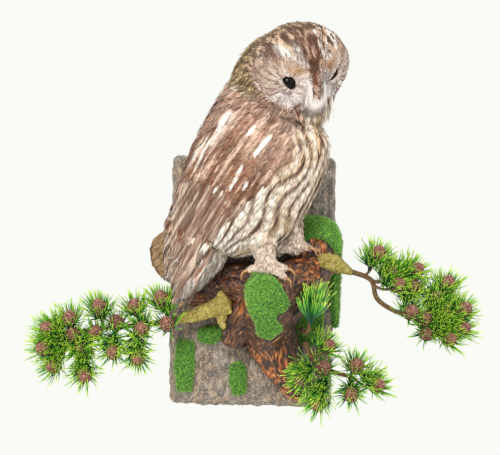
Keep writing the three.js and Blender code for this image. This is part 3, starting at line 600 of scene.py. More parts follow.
def head_colour(place, across, along, jitter):
    """The crown, its dark middle stripe, the brows, the discs and their rims."""
    x, y, z = place.head.T
    beside = np.abs(y)
    turn = np.arctan2(y, z + 12)
    fleck = layered(np.stack([turn * 62 / 3.4, x / 10, z / 26], 1), 21)
    crown = mottled_colour(place, across, jitter, PALE_FLECK, CROWN_BROWN, fleck)
    crown = mix(crown, WARM_BROWN, ease(0.42, 0.62, noise(place.points / (9 * MM), 23)) * 0.25)
    nape = mottled_colour(place, across, jitter, OLIVE_BUFF, OLIVE_BROWN * 0.5, layered(place.points / (4.6 * MM), 25))
    colour = mix(crown, nape, ease(-12, -40, x - 0.25 * (z - 20)))
    brow = np.maximum(bump(place.out, 1.13, 0.12) * ease(28, 36, z) * ease(44, 34, beside),
                      bump(beside, 17, 4.5) * ease(20, 30, z) * ease(58, 46, z)) * ease(0, 12, x)
    far_streaks = ease(8, 12, y) * ease(44, 36, y) * ease(20, 32, z) * ease(-6, 6, x)
    brow = np.maximum(brow * (y < 6), far_streaks * ease(0.5, 0.62, noise(place.head / [12, 3.2, 12], 27)))
    broken = ease(0.4, 0.52, layered(np.stack([beside / 3.2, z / 9, x / 14], 1), 28))
    brow = brow * (0.3 + 0.7 * broken) * ease(0.1, 0.35, jitter)
    colour = mix(colour, WHITE, np.minimum(brow * 1.3, 1))
    half_stripe = 4.6 + 0.0022 * np.maximum(z, 0) ** 2
    edge = np.abs(y + 3) + 5 * (jitter - 0.5)
    median = ease(half_stripe + 1.5, half_stripe - 1.5, edge) * ease(-8, 4, x) * ease(-7, 1, z)
    mottle = layered(np.stack([y / 2.6, z / 9, x / 12], 1), 29)
    stripe = mix(base_of(place, STRIPE_RED), CROWN_BROWN, ease(0.48, 0.6, mottle) * 0.9)
    stripe = mix(stripe, PINK_BUFF, ease(0.44, 0.36, mottle) * 0.6)
    stripe = mix(stripe, crown, ease(40, 62, z) * 0.6)
    colour = mix(colour, stripe, median * 0.92)
    e = place.head - place.eye
    ring = np.hypot(e[:, 1], e[:, 2])
    angle = np.arctan2(e[:, 2], e[:, 1] * place.side)
    rays = noise(np.stack([angle * 9, ring / 14, jitter * 2], 1), 33)
    disc = mix(base_of(place, DISC_GREY), LILAC, ease(6, -12, z) * 0.8)
    disc = mix(disc, WHITE, ease(0.55, 0.75, rays) * 0.6)
    disc = mix(disc, GREY_BROWN, ease(0.48, 0.34, rays) * (0.4 + 0.4 * ease(-8, 6, z)))
    disc = mix(disc, WARM_BROWN, ease(0.5, 0.36, rays) * ease(34, 48, beside) * 0.7)
    far_brown = ease(0.5, 0.4, rays) * ease(20, 32, y) * ease(14, -4, z)
    disc = mix(disc, WARM_BROWN, far_brown * 0.9)
    ochre = np.exp(-((beside - 23) / 11) ** 2 - ((z - 29) / 8.5) ** 2) * ease(8, 12, ring)
    disc = mix(disc, OCHRE, ochre * 0.85 * (0.7 + 0.3 * jitter))
    inner = bump(beside, 11, 5) * ease(30, 18, z) * ease(-12, 0, z)
    disc = mix(disc, LILAC, inner * 0.6)
    disc = mix(disc, GREY_BROWN, bump(ring, 9, 3) * 0.3)
    outer = np.maximum(ease(10, 28, beside - EYE[1]), ease(26, 38, z)) * ease(-30, -5, z)
    disc = mix(disc, BUFF, outer * 0.35)
    disc = mix(disc, WARM_BROWN, outer * ease(0.35, 0.6, rays) * 0.35)
    disc = mix(disc, WARM_BROWN, outer * ease(0.5, 0.3, rays) * 0.5)
    # painted shade: darker brown on the disc beneath the bill
    chin = ease(-12, -22, z) * ease(14, 6, beside)
    disc = mix(disc, WARM_BROWN, chin * 0.6)
    between = ease(20, 12, beside) * ease(34, 24, z) * ease(-36, -26, z) * ease(20, 30, x)
    in_disc = 1 - ease(0.82, 1.06, place.out + 0.16 * (jitter - 0.5))
    in_disc = np.maximum(in_disc, between) * (1 - median)
    colour = mix(colour, disc, in_disc)
    rim = bump(place.out, 1.0, 0.1) * ease(-10, 4, x) * (0.25 + 0.7 * ease(12, -6, z)) * (1 - median) * (1 - between)
    rim_tone = mix(base_of(place, RUSTY), WHITE, ease(0.5, 0.7, jitter))
    rim_tone = mix(rim_tone, DARK_BROWN, ease(0.38, 0.22, jitter))
    return mix(colour, rim_tone, rim)


def plumage_colour(place, across, along, jitter):
    """The markings shared by the skin and the coat: across a feather, along it, and its own chance."""
    across = np.abs(across)
    colour = breast_colour(place, across, jitter)
    back = wing_colour(place, across, along, jitter)
    dorsal = np.where(place.zone == TRUNK, ease(92, 112, np.abs(place.round)), 0.0)
    colour = mix(colour, back, dorsal)
    wing = place.among(COVERTS + FLIGHT)
    colour[wing] = back[wing]
    fleck = layered(place.points / (5 * MM), 31)
    nape = mottled_colour(place, across, jitter, OLIVE_BUFF, OLIVE_BROWN * 0.5, fleck)
    high = place.among((NECK, TRUNK)) * ease(14, -2, place.along)
    colour = mix(colour, nape, high * ease(38, 75, np.abs(place.round)))
    beside = ease(40, 48, np.abs(place.round)) * ease(128, 112, np.abs(place.round))
    shoulder = place.among((NECK, TRUNK)) * beside * ease(-16, -6, place.along) * ease(85, 65, place.along)
    colour = mix(colour, back, shoulder)
    vent = mix(base_of(place, GREY_BROWN), WHITE, ease(0.45, 0.9, along * 0.6 + jitter * 0.5) * 0.75)
    vent = mix(vent, DARK_BROWN, ease(0.4, 0.2, jitter) * 0.35)
    under = np.maximum((place.zone == TAIL) * 1.0, (place.zone == TRUNK) * ease(205, 225, place.along))
    colour = mix(colour, vent, under)
    leg = mix(base_of(place, LEG_CREAM), BUFF, ease(0.5, 0.9, jitter) * 0.6)
    strands = layered(np.stack([place.owl[:, 0] / 3, place.owl[:, 1] / 3, place.owl[:, 2] / 14], 1), 35)
    leg = mix(leg, WARM_BROWN, ease(0.54, 0.66, strands) * (0.25 + 0.45 * ease(0, 22, place.owl[:, 2])))
    legs = place.among(LEGS + FEET)
    colour[legs] = leg[legs]
    head = head_colour(place, across, along, jitter)
    colour[place.facial] = head[place.facial]
    return colour


# ---------------------------------------------------------------- the skin
SKIN_VOXEL = 2.2 * MM
SKIN_GROW = 0.5 * MM
THIN_SHARE = 0.3                      # the skin lies at most this share of a thin part's thickness deep


class Skin:
    """The bird's bare skin under its coat, with what the coat needs to follow it."""

    def __init__(self):
        self.find_zone = ZoneFinder()
        self.obj = remeshed(joined_nodes("owl_skin", FLESH, SKIN_GROW), SKIN_VOXEL, 5)
        points = points_of(self.obj)
        faces = triangles_of(self.obj)
        normals = point_normals(points, faces)
        hull = BVHTree.FromPolygons(points.tolist(), faces.tolist())
        place = Places(points, self.find_zone(points))
        depth = feather_sizes(place)[3] * 0.85
        for i, (point, normal) in enumerate(zip(points, normals)):
            start = Vector(point - normal * 0.3 * MM)
            thickness = hull.ray_cast(start, Vector(-normal), 0.05)[3]
            if thickness is not None:
                depth[i] = min(depth[i], thickness * THIN_SHARE)
        depth = self.evened(depth, faces, 6)
        set_points(self.obj, points - normals * depth[:, None])
        smooth_shaded(self.obj)
        self.points = points_of(self.obj)
        self.faces = triangles_of(self.obj)
        self.normals = point_normals(self.points, self.faces)
        self.depth = depth
        self.tree = BVHTree.FromPolygons(self.points.tolist(), self.faces.tolist())
        self.zone = self.find_zone(self.points)
        self.unwrap()
        jitter = noise(self.points / (3 * MM), 41)
        set_colours(self.obj, "Plumage", plumage_colour(
            Places(self.points, self.zone), np.full(len(jitter), 0.4), np.full(len(jitter), 0.5), jitter))

    @staticmethod
    def evened(values, faces, rounds):
        edges = np.concatenate([faces[:, [0, 1]], faces[:, [1, 2]], faces[:, [2, 0]]])
        degree = np.maximum(np.bincount(edges.ravel(), minlength=len(values)), 1)
        for _ in range(rounds):
            total = (np.bincount(edges[:, 0], values[edges[:, 1]], len(values))
                     + np.bincount(edges[:, 1], values[edges[:, 0]], len(values)))
            values = total / degree
        return values

    def unwrap(self):
        """The skin's own unwrap, and its middle for each triangle."""
        bpy.context.view_layer.objects.active = self.obj
        self.obj.select_set(True)
        self.obj.data.uv_layers.new(name="OFBake")
        bpy.ops.object.mode_set(mode="EDIT")
        bpy.ops.mesh.select_all(action="SELECT")
        bpy.ops.uv.smart_project(angle_limit=math.radians(66), island_margin=0.003)
        bpy.ops.object.mode_set(mode="OBJECT")
        self.obj.select_set(False)
        flat = np.empty(len(self.obj.data.loops) * 2, np.float32)
        self.obj.data.uv_layers["OFBake"].data.foreach_get("uv", flat)
        loops = np.empty(len(self.obj.data.loop_triangles) * 3, np.int32)
        self.obj.data.loop_triangles.foreach_get("loops", loops)
        self.patch = flat.reshape(-1, 2)[loops.reshape(-1, 3)].mean(1)

    def nearest(self, points):
        """The skin's points and smooth normals nearest to the given points."""
        found = np.empty_like(points)
        index = np.empty(len(points), int)
        for i, point in enumerate(points):
            spot, _, face, _ = self.tree.find_nearest(Vector(point))
            found[i] = spot
            index[i] = face
        return found, unit(self.normals[self.faces[index]].mean(1)), index


# ---------------------------------------------------------------- feathers
STATIONS = 3                          # rings of a lock before its tip
PATCH = 0.003


def scattered(skin, rng):
    """Evenly scattered roots on the skin, each at its region's own spacing."""
    corners = skin.points[skin.faces]
    area = np.linalg.norm(np.cross(corners[:, 1] - corners[:, 0], corners[:, 2] - corners[:, 0]), axis=1) / 2
    place = Places(corners.mean(1), skin.zone[skin.faces[:, 0]])
    spacing = feather_sizes(place)[2]
    wanted = area / spacing ** 2 * 4
    tries = rng.poisson(wanted)
    face = np.repeat(np.arange(len(area)), tries)
    u, v = rng.random((2, len(face)))
    over = u + v > 1
    u[over], v[over] = 1 - u[over], 1 - v[over]
    roots = (corners[face, 0] + u[:, None] * (corners[face, 1] - corners[face, 0])
             + v[:, None] * (corners[face, 2] - corners[face, 0]))
    tree = KDTree(len(roots))
    for i, root in enumerate(roots):
        tree.insert(root, i)
    tree.balance()
    alive = np.ones(len(roots), bool)
    kept = []
    for i in rng.permutation(len(roots)):
        if alive[i]:
            kept.append(i)
            for _, other, _ in tree.find_range(roots[i], spacing[face[i]]):
                alive[other] = False
    kept = np.sort(np.array(kept))
    return roots[kept], face[kept]


def tangent(directions, normals):
    flat = directions - normals * np.sum(directions * normals, axis=1, keepdims=True)
    return unit(flat)


def centre_lines(skin, roots, zone, length):
    """Each feather's line over the skin: its points, normals and sides at even steps."""
    points, normals, _ = skin.nearest(roots)
    way = tangent(lie(Places(points, zone)), normals)
    lines = [(points, normals, way)]
    for _ in range(STATIONS):
        ahead = points + way * (length / STATIONS)[:, None]
        points, normals, _ = skin.nearest(ahead)
        fresh = tangent(lie(Places(points, zone)), normals)
        way = tangent(way * 0.4 + fresh * 0.6, normals)
        lines.append((points, normals, way))
    return [np.stack(parts, 1) for parts in zip(*lines)]


def at_share(values, share):
    """Values at the stations, read at any share of the way along them."""
    place = np.clip(share, 0, 1) * STATIONS
    low = np.minimum(place.astype(int), STATIONS - 1)
    part = (place - low)[..., None]
    rows = np.arange(len(values)).reshape(-1, *[1] * (share.ndim - 1))
    return values[rows, low] * (1 - part) + values[rows, low + 1] * part


def lock_pattern():
    """The triangles of one lock: three-sided rings, a point and a closed root."""
    pattern = []
    for ring in range(STATIONS - 1):
        for a, b in ((0, 1), (1, 2), (2, 0)):
            low, high = ring * 3, ring * 3 + 3
            pattern += [(low + a, high + a, high + b), (low + a, high + b, low + b)]
    last = STATIONS * 3 - 3
    for a, b in ((0, 1), (1, 2), (2, 0)):
        pattern.append((last + a, STATIONS * 3, last + b))
    pattern.append((0, 1, 2))
    return np.array(pattern)


def build_coat(name, skin, roots, faces, locks, fineness, rng):
    """Feathers as fans of closed, tapered locks, each three-sided and ending in a point."""
    count = len(roots)
    zone = skin.zone[skin.faces[faces, 0]]
    root_place = Places(roots, zone)
    length, spread, _, height = feather_sizes(root_place)
    length = length * rng.uniform(0.8, 1.2, count)
    height = np.minimum(height, skin.depth[skin.faces[faces, 0]] * 1.3 + 0.6 * MM) * rng.uniform(0.75, 1.15, count)
    lines, normals, ways = centre_lines(skin, roots, zone, length)
    fan = np.linspace(-1, 1, locks) + rng.normal(0, 0.12, (count, locks))
    reach = (1 - 0.3 * np.abs(fan) ** 2) * rng.uniform(0.82, 1.05, (count, locks))
    steps = np.linspace(0, 1, STATIONS + 1)
    share = reach[:, :, None] * steps
    middle = at_share(lines, share)
    up = unit(at_share(normals, share))
    way = unit(at_share(ways, share))
    side = unit(np.cross(up, way))
    open_out = 0.35 + 0.65 * np.sin(np.minimum(share, 0.75) / 0.75 * math.pi / 2)
    offset = fan[:, :, None] * open_out * (spread / 2)[:, None, None]
    rise = height[:, None, None] * (share ** 0.75) - 0.35 * MM * (1 - share)
    rise = rise * (1 - 0.22 * fan[:, :, None] ** 2) * (1 + rng.normal(0, 0.1, (count, locks, 1)))
    axis = middle + side * offset[..., None] + up * rise[..., None]
    half = (spread / locks * fineness)[:, None, None] * np.array([0.7, 1, 0.8, 0])[:STATIONS + 1]
    half = half * rng.uniform(0.8, 1.25, (count, locks, 1))
    thick = half * 0.55
    left = axis - side * half[..., None]
    right = axis + side * half[..., None]
    ridge = axis + up * thick[..., None]
    rings = np.stack([left, ridge, right], 3)[:, :, :STATIONS].reshape(count, locks, STATIONS * 3, 3)
    tips = axis[:, :, STATIONS:]
    points = np.concatenate([rings, tips], 2)
    per_lock = STATIONS * 3 + 1
    pattern = lock_pattern()
    starts = (np.arange(count * locks) * per_lock)[:, None, None]
    obj = make_mesh(name, points.reshape(-1, 3), (pattern + starts).reshape(-1, 3))
    ring_share = np.concatenate([np.repeat(share[:, :, :STATIONS], 3, axis=2), share[:, :, STATIONS:]], 2)
    flat = (count, locks * per_lock)
    chance = 0.55 * rng.random((count, 1, 1)) + 0.45 * rng.random((count, locks, 1)) + np.zeros(per_lock)
    tone = 0.84 + 0.3 * rng.random((count, locks, 1)) + np.zeros(per_lock)
    across = fan[:, :, None] + np.zeros(per_lock)
    paint_feathers(obj, skin, points.reshape(*flat, 3), zone, faces, across.reshape(flat),
                   ring_share.reshape(flat), chance.reshape(flat), tone.reshape(flat))
    return smooth_shaded(obj)


def paint_feathers(obj, skin, points, zone, faces, across, share, jitter, tone):
    """The markings with painted shade at their roots, and the patch of the skin's unwrap, for every feather of a coat
    piece.
    """
    count, each = points.shape[:2]
    place = Places(points.reshape(-1, 3), np.repeat(zone, each))
    colour = plumage_colour(place, np.clip(across, -1, 1).ravel(), share.ravel(), jitter.ravel())
    # painted shade: each lock darker towards its root, where the feathers over it lie
    painted_root_shade = 0.7 + 0.3 * ease(0, 0.45, share.ravel())
    set_colours(obj, "Plumage", colour * (tone.ravel() * painted_root_shade)[:, None])
    patch = skin.patch[faces][:, None, :] + np.zeros((count, each, 2))
    patch[..., 0] += np.clip(across, -1, 1) * 0.4 * PATCH
    patch[..., 1] += (share - 0.5) * PATCH
    patch = patch.reshape(-1, 2)
    corner = np.empty(len(obj.data.loops), np.int32)
    obj.data.loops.foreach_get("vertex_index", corner)
    layer = obj.data.uv_layers.new(name="OFBake")
    layer.data.foreach_set("uv", patch[corner].astype(np.float32).ravel())


def plates(name, top, up, thick):
    """Thin closed plates in one mesh, each a grid of points given a back and a closed edge."""
    count, rows, columns = top.shape[:3]
    grid = np.arange(rows * columns).reshape(rows, columns)
    a, b, c, d = (part.ravel() for part in (grid[:-1, :-1], grid[1:, :-1], grid[1:, 1:], grid[:-1, 1:]))
    front = np.concatenate([np.stack([a, b, c], 1), np.stack([a, c, d], 1)])
    back = front[:, ::-1] + rows * columns
    rim = np.concatenate([grid[0, :-1], grid[:-1, -1], grid[-1, :0:-1], grid[:0:-1, 0]])
    after = np.roll(rim, -1)
    under = rows * columns
    edge = np.concatenate([np.stack([rim, after, after + under], 1), np.stack([rim, after + under, rim + under], 1)])
    pattern = np.concatenate([front, back, edge])
    points = np.concatenate([top, top - up * thick], 1).reshape(-1, 3)
    starts = (np.arange(count) * rows * columns * 2)[:, None, None]
    return smooth_shaded(make_mesh(name, points, (pattern + starts).reshape(-1, 3)))


VANE_ROWS = 7
VANE_COLUMNS = 7
VANE_THICKNESS = 0.2 * MM


def build_vanes(name, skin, roots, faces, rng):
    """Feathers as thin cambered plates with rounded, slightly frayed ends."""
    count = len(roots)
    zone = skin.zone[skin.faces[faces, 0]]
    length, spread, _, height = feather_sizes(Places(roots, zone))
    length = length * rng.uniform(0.85, 1.15, count)
    height = np.minimum(height, skin.depth[skin.faces[faces, 0]] * 1.3 + 0.6 * MM) * rng.uniform(0.8, 1.1, count)
    lines, normals, ways = centre_lines(skin, roots, zone, length)
    t = np.linspace(0, 1, VANE_ROWS)[None, :, None]
    v = np.linspace(-1, 1, VANE_COLUMNS)[None, None, :]
    fray = rng.normal(0, 0.05, (count, VANE_ROWS, VANE_COLUMNS)) * t ** 2
    share = np.clip(t * (1 - 0.24 * v ** 2 * t) + fray, 0, 1)
    up = unit(at_share(normals, share))
    way = unit(at_share(ways, share))
    side = unit(np.cross(up, way))
    half = (spread / 2)[:, None, None] * (0.45 + 0.55 * np.sin(np.minimum(t, 0.62) / 0.62 * math.pi / 2)) \
        * (1 - 0.42 * t ** 4)
    skew = rng.normal(0, 0.12, (count, 1, 1)) * t
    rise = height[:, None, None] * t ** 0.8 - 0.4 * MM * (1 - t) + (1 - v ** 2) * 0.05 * spread[:, None, None]
    top = at_share(lines, share) + side * (half * (v + skew))[..., None] + up * rise[..., None]
    obj = plates(name, top, up, VANE_THICKNESS)
    both = np.concatenate([top.reshape(count, -1, 3), top.reshape(count, -1, 3)], 1)
    across = np.tile(np.broadcast_to(v, share.shape).reshape(count, -1), 2)
    chance = rng.random((count, 1)) + np.zeros(across.shape[1])
    tone = 0.9 + 0.2 * rng.random((count, 1)) + np.zeros(across.shape[1])
    paint_feathers(obj, skin, both, zone, faces, across, np.tile(share.reshape(count, -1), 2), chance, tone)
    return obj


def plumage_material(name, roughness):
    """Feather barbs: dry and matt with a faint silk sheen where they catch the light."""
    material, tree, surface = begin_material(name, roughness, Sheen_Weight=0.1, Sheen_Roughness=0.5,
                                             Specular_IOR_Level=0.12)
    paint = add(tree, "ShaderNodeAttribute", attribute_name="Plumage")
    place = add(tree, "ShaderNodeTexCoord").outputs["Object"]
    barbs = add(tree, "ShaderNodeTexNoise", {"Vector": place}, in_Scale=per_mm(1.4), in_Detail=3.0)
    shade_span = add(tree, "ShaderNodeMapRange", {"Value": barbs.outputs["Fac"]},
                     in_To_Min=0.86, in_To_Max=1.14)
    tinted = add(tree, "ShaderNodeVectorMath", {0: paint.outputs["Color"]}, operation="SCALE")
    tree.links.new(shade_span.outputs["Result"], tinted.inputs["Scale"])
    tree.links.new(tinted.outputs["Vector"], surface.inputs["Base Color"])
    add_bump(tree, surface, barbs.outputs["Fac"], 0.25, 0.4)
    return material


# Each coat piece: how it is built, its locks to a feather, and how wide they are.
COATS = {
    "coat_face": ("locks", 5, 0.88),
    "coat_crown": ("locks", 6, 1.0),
    "coat_neck": ("locks", 7, 1.0),
    "coat_breast": ("locks", 8, 1.0),
    "coat_back": ("vanes", 0, 0),
    "coat_wing_right": ("vanes", 0, 0),
    "coat_wing_left": ("vanes", 0, 0),
    "coat_tail": ("locks", 7, 1.0),
    "coat_legs": ("locks", 5, 1.0),
}


def coat_of(name, place):
    """Which roots belong to a coat piece."""
    zone = place.zone
    face = place.facial & (place.out < 1.24)
    return {
        "coat_face": face,
        "coat_crown": (zone == HEAD_ZONE) & ~face,
        "coat_neck": (zone == NECK) & ~face,
        "coat_breast": (zone == TRUNK) & (np.abs(place.round) <= 100) & ~face,
        "coat_back": (zone == TRUNK) & (np.abs(place.round) > 100) & ~face,
        "coat_wing_right": (zone == 4) | (zone == 5),
        "coat_wing_left": (zone == 6) | (zone == 7),
        "coat_tail": zone == TAIL,
        "coat_legs": place.among(LEGS + FEET),
    }[name]


BILL_BASE = 5.5


def clear_of_openings(place):
    """Roots that are neither within the almond of an eye nor on the bill."""
    free = ~(place.facial & (place.head[:, 0] > 47) & (np.abs(place.head[:, 1]) < BILL_BASE)
             & (place.head[:, 2] < 2))
    for name, side in (("right", -1), ("left", 1)):
        centre, gaze, long_way, short_way = eye_axes(name, side)
        off = unit(place.head - centre)
        wide = np.degrees(np.arctan2(off @ long_way, off @ gaze))
        tall = np.degrees(np.arctan2(off @ short_way, off @ gaze))
        near = np.linalg.norm(place.head - centre, axis=1) < EYE_RADIUS * 1.6
        widest, tallest = LID_OPENING[name]
        free &= ~(near & (np.hypot(wide / widest, tall / tallest) < 1.0) & (off @ gaze > 0))
    return free


VANE_STATIONS = 20
VANE_LANES = 9
# Long feathers laid side by side on one side of the bird: how many, half their width and their height over
# the skin in mm, and where the first to the last begin and end, as x, z in the owl.
FLIGHT_FEATHERS = {
    "count": 15, "half_width": 5.4, "lift": 2.4, "tone": 0.96,
    "roots": [(-30, 71), (-72, 88), (-114, 98)],
    "ends": [(-62, 40), (-92, 6), (-118, -17), (-136, -34), (-142, -40)],
}
TAIL_FEATHERS = {
    "count": 3, "half_width": 4.6, "lift": 6.5, "tone": 1.25,
    "roots": [(-80, 22), (-88, 30)],
    "ends": [(-128, -60), (-140, -52)],
}


def laid_vanes(name, skin, side, feathers, rng):
    """Long feathers of one side, each over the one in front of it."""
    many, lift = feathers["count"], feathers["lift"]
    share = np.linspace(0, 1, many)
    first = np.stack([np.interp(share, np.linspace(0, 1, len(axis)), axis) for axis in zip(*feathers["roots"])], 1)
    last = np.stack([np.interp(share ** 0.8, np.linspace(0, 1, len(axis)), axis)
                     for axis in zip(*feathers["ends"])], 1)
    first = first + rng.normal(0, 2.5, first.shape)
    last = last + rng.normal(0, 2.0, last.shape)
    t = np.linspace(0, 1, VANE_STATIONS)
    flat = first[:, None] * (1 - t)[None, :, None] + last[:, None] * t[None, :, None]
    lines = np.empty((many, VANE_STATIONS, 3))
    inwards = Vector(turned(OWL, np.array([[0, -side, 0.0]]))[0])
    for k, row in np.ndindex(many, VANE_STATIONS):
        x, z = flat[k, row]
        start = outof(OWL, [[x, side * 120, z]])[0]
        spot = skin.tree.ray_cast(Vector(start), inwards)[0]
        lines[k, row] = spot if spot is not None else lines[k, row - 1] + (lines[k, row - 1] - lines[k, row - 2])
    for _ in range(3):
        lines[:, 1:-1] = (lines[:, :-2] + 2 * lines[:, 1:-1] + lines[:, 2:]) / 4
    _, normals, faces = skin.nearest(lines.reshape(-1, 3))
    up = unit(normals.reshape(lines.shape) * 0.4 - np.array(inwards) * 0.6)
    way = unit(np.gradient(lines, axis=1))
    across_way = unit(np.cross(up, way)) * side
    v = np.linspace(-1, 1, VANE_LANES)
    half = feathers["half_width"] * MM * (0.8 + 0.2 * np.sin(t * math.pi)) * (1 - 0.65 * t ** 5)
    rise = lift * MM + 0.7 * MM * v[None, None, :] + 0.35 * MM * (1 - v ** 2)
    top = (lines[:, :, None] + across_way[:, :, None] * (half[:, None] * v)[None, :, :, None]
           + up[:, :, None] * rise[..., None])
    up_grid = np.broadcast_to(up[:, :, None], top.shape)
    obj = plates(name, top, up_grid, VANE_THICKNESS)
    both = np.concatenate([top.reshape(many, -1, 3)] * 2, 1)
    zone = np.full(many, 5 if side < 0 else 7)
    across = np.tile(np.broadcast_to(v, top.shape[:3]).reshape(many, -1), 2)
    along = np.tile(np.broadcast_to(t[:, None], top.shape[1:3]).reshape(1, -1), (many, 2))
    chance = rng.random((many, 1)) + np.zeros(across.shape[1])
    tone = feathers["tone"] * (0.9 + 0.2 * rng.random((many, 1))) + np.zeros(across.shape[1])
    roots = faces.reshape(many, VANE_STATIONS)[:, 0]
    paint_feathers(obj, skin, both, zone, roots, across, 0.3 + 0.7 * along, chance, tone)
    return obj


BRISTLES = 420
LID_LOCKS = 520
CHIN_PLUMES = 420
LID_REACH = math.radians(74)          # how far from the gaze the feathered lids reach


def fine_locks(name, skin, axis, up, half_width, zone, rng):
    """Loose thin locks along the given centre lines, each line with the way its upper side faces."""
    count = len(axis)
    faces = skin.nearest(axis[:, 0])[2]
    t = np.linspace(0, 1, STATIONS + 1)
    up = np.broadcast_to(up[:, None], axis.shape)
    across_way = unit(np.cross(up, np.gradient(axis, axis=1)))
    half = half_width * MM * np.array([0.8, 1, 0.7, 0])[None, :, None]
    rings = np.stack([axis - across_way * half, axis + up * half * 0.6, axis + across_way * half], 2)
    spots = np.concatenate([rings[:, :STATIONS].reshape(count, -1, 3), axis[:, STATIONS:]], 1)
    pattern = lock_pattern()
    starts = (np.arange(count) * (STATIONS * 3 + 1))[:, None, None]
    obj = make_mesh(name, spots.reshape(-1, 3), (pattern + starts).reshape(-1, 3))
    share = np.tile(np.append(np.repeat(t[:STATIONS], 3), 1.0), (count, 1))
    chance = rng.random((count, 1)) + np.zeros(share.shape[1])
    paint_feathers(obj, skin, spots, np.full(count, zone), faces, share * 0, 0.3 + 0.7 * share, chance,
                   0.85 + 0.25 * chance)
    return smooth_shaded(obj)


def straight(points, ways, lengths):
    """Straight centre lines from the points."""
    t = np.linspace(0, 1, STATIONS + 1)[None, :, None]
    return points[:, None] + ways[:, None] * (lengths * MM)[:, None, None] * t


def loral_bristles(skin, rng):
    """Long thin plumes from above the bill and beside it, which fall over the bill."""
    y = rng.uniform(-11, 11, BRISTLES)
    drop = rng.random(BRISTLES)
    start = np.stack([48 - 0.02 * y ** 2 + 4 * drop, y, 17 - 15 * drop], 1)
    start = into(HEAD, skin.nearest(outof(HEAD, start))[0])
    over = np.stack([67 - 0.05 * y ** 2 - 3 * drop, y * 1.15 - 1, 3 - 9 * drop], 1)
    end = np.stack([63 - 0.05 * y ** 2, y * 1.3 - 4 + rng.normal(0, 2, BRISTLES), rng.uniform(-30, -20, BRISTLES)], 1)
    t = np.linspace(0, 1, STATIONS + 1)[None, :, None]
    axis = (1 - t) ** 2 * start[:, None] + 2 * t * (1 - t) * over[:, None] + t ** 2 * end[:, None]
    up = turned(HEAD, unit(np.stack([np.ones(BRISTLES), 0.06 * y, 0.3 * np.ones(BRISTLES)], 1)))
    axis = outof(HEAD, axis.reshape(-1, 3)).reshape(axis.shape)
    return fine_locks("coat_bristles", skin, axis, up, 0.9, HEAD_ZONE, rng)


def chin_plumes(skin, rng):
    """Soft plumes that hang from under the far cheek and the chin over the front of the neck."""
    y = rng.uniform(-6, 32, CHIN_PLUMES)
    depth = rng.random(CHIN_PLUMES)
    start = np.stack([50 - 0.012 * y ** 2 - 26 * depth, y, -18 - 4 * depth], 1)
    points, normals, _ = skin.nearest(outof(HEAD, start))
    ways = unit(np.array([-0.12, -0.05, -1.0]) + rng.normal(0, 0.09, (CHIN_PLUMES, 3)))
    axis = straight(points - normals * 2 * MM, ways, rng.uniform(22, 36, CHIN_PLUMES))
    up = unit(normals * (1, 1, 0.1))
    return fine_locks("coat_chin", skin, axis, up, 1.5, FLESH.index("trunk"), rng)


def lid_locks(name, side, skin, rng):
    """The short feathers that cover the lids of one eye, out from the edge of the opening."""
    centre, gaze, long_way, short_way = eye_axes(name, side)
    angle = rng.uniform(0, 2 * math.pi, LID_LOCKS)
    wide, tall = (math.radians(a) for a in LID_OPENING[name])
    open_angle = 1 / np.hypot(np.cos(angle) / wide, np.sin(angle) / tall) + 0.03
    reach = open_angle + (LID_REACH - open_angle) * rng.random(LID_LOCKS)
    out = np.cos(angle)[:, None] * long_way + np.sin(angle)[:, None] * short_way
    up = gaze * np.cos(reach)[:, None] + out * np.sin(reach)[:, None]
    way = out * np.cos(reach)[:, None] - gaze * np.sin(reach)[:, None]
    points = outof(HEAD, centre + up * EYE_RADIUS * 1.07)
    axis = straight(points, turned(HEAD, unit(way + 0.45 * up)), rng.uniform(4, 7, LID_LOCKS))
    return fine_locks(f"coat_lids_{name}", skin, axis, turned(HEAD, up), 0.6, HEAD_ZONE, rng)


def dress_owl():
    """The skin and its coat, piece by piece."""
    rng = np.random.default_rng(7)
    skin = Skin()
    material = plumage_material("feather_barbs_matt", 0.85)
    skin.obj.data.materials.append(material)
    hand_over(skin.obj, "plumage", *FLESH)
    roots, faces = scattered(skin, rng)
    place = Places(roots, skin.zone[skin.faces[faces, 0]])
    free = clear_of_openings(place)
    for name, (kind, locks, fineness) in COATS.items():
        mine = coat_of(name, place) & free
        if kind == "vanes":
            coat = build_vanes(name, skin, roots[mine], faces[mine], rng)
        else:
            coat = build_coat(name, skin, roots[mine], faces[mine], locks, fineness, rng)
        coat.data.materials.append(material)
        hand_over(coat, "plumage")
        print(name, int(mine.sum()), "feathers", len(coat.data.polygons), "triangles")
    loose = [loral_bristles(skin, rng), chin_plumes(skin, rng)]
    for name, side in (("right", -1), ("left", 1)):
        loose.append(lid_locks(name, side, skin, rng))
        loose.append(laid_vanes(f"coat_flight_{name}", skin, side, FLIGHT_FEATHERS, rng))
        loose.append(laid_vanes(f"coat_tail_vanes_{name}", skin, side, TAIL_FEATHERS, rng))
    for coat in loose:
        coat.data.materials.append(material)
        hand_over(coat, "plumage")


# ---------------------------------------------------------------- eyes, lids, bill and claws
# Half angles of the almond between the lids, in degrees; the left lids are half closed.
LID_OPENING = {"right": (68, 33), "left": (46, 9)}
LID_SLANT = 47                        # its long axis falls this much towards the bill
LID_THICKNESS = 0.9
GAZE = {"right": (0.92, -0.08, 0.40), "left": (0.92, 0.08, 0.40)}
GAZE_UP = (0, 0, 1)


def eye_axes(name, side):
    """The middle of an eye, where it looks, and the long and short ways of its opening, in the head."""
    centre = np.array([EYE[0], side * EYE[1], EYE[2]])
    gaze = unit(np.array(GAZE[name]))
    inwards = unit(np.cross(np.array(GAZE_UP), gaze)) * -side
    inwards = tangent(inwards[None], gaze[None])[0]
    upwards = np.cross(gaze, inwards)
    upwards = upwards * np.sign(upwards[2])
    slant = math.radians(LID_SLANT)
    long_way = inwards * math.cos(slant) - upwards * math.sin(slant)
    short_way = inwards * math.sin(slant) + upwards * math.cos(slant)
    return centre, gaze, long_way, short_way


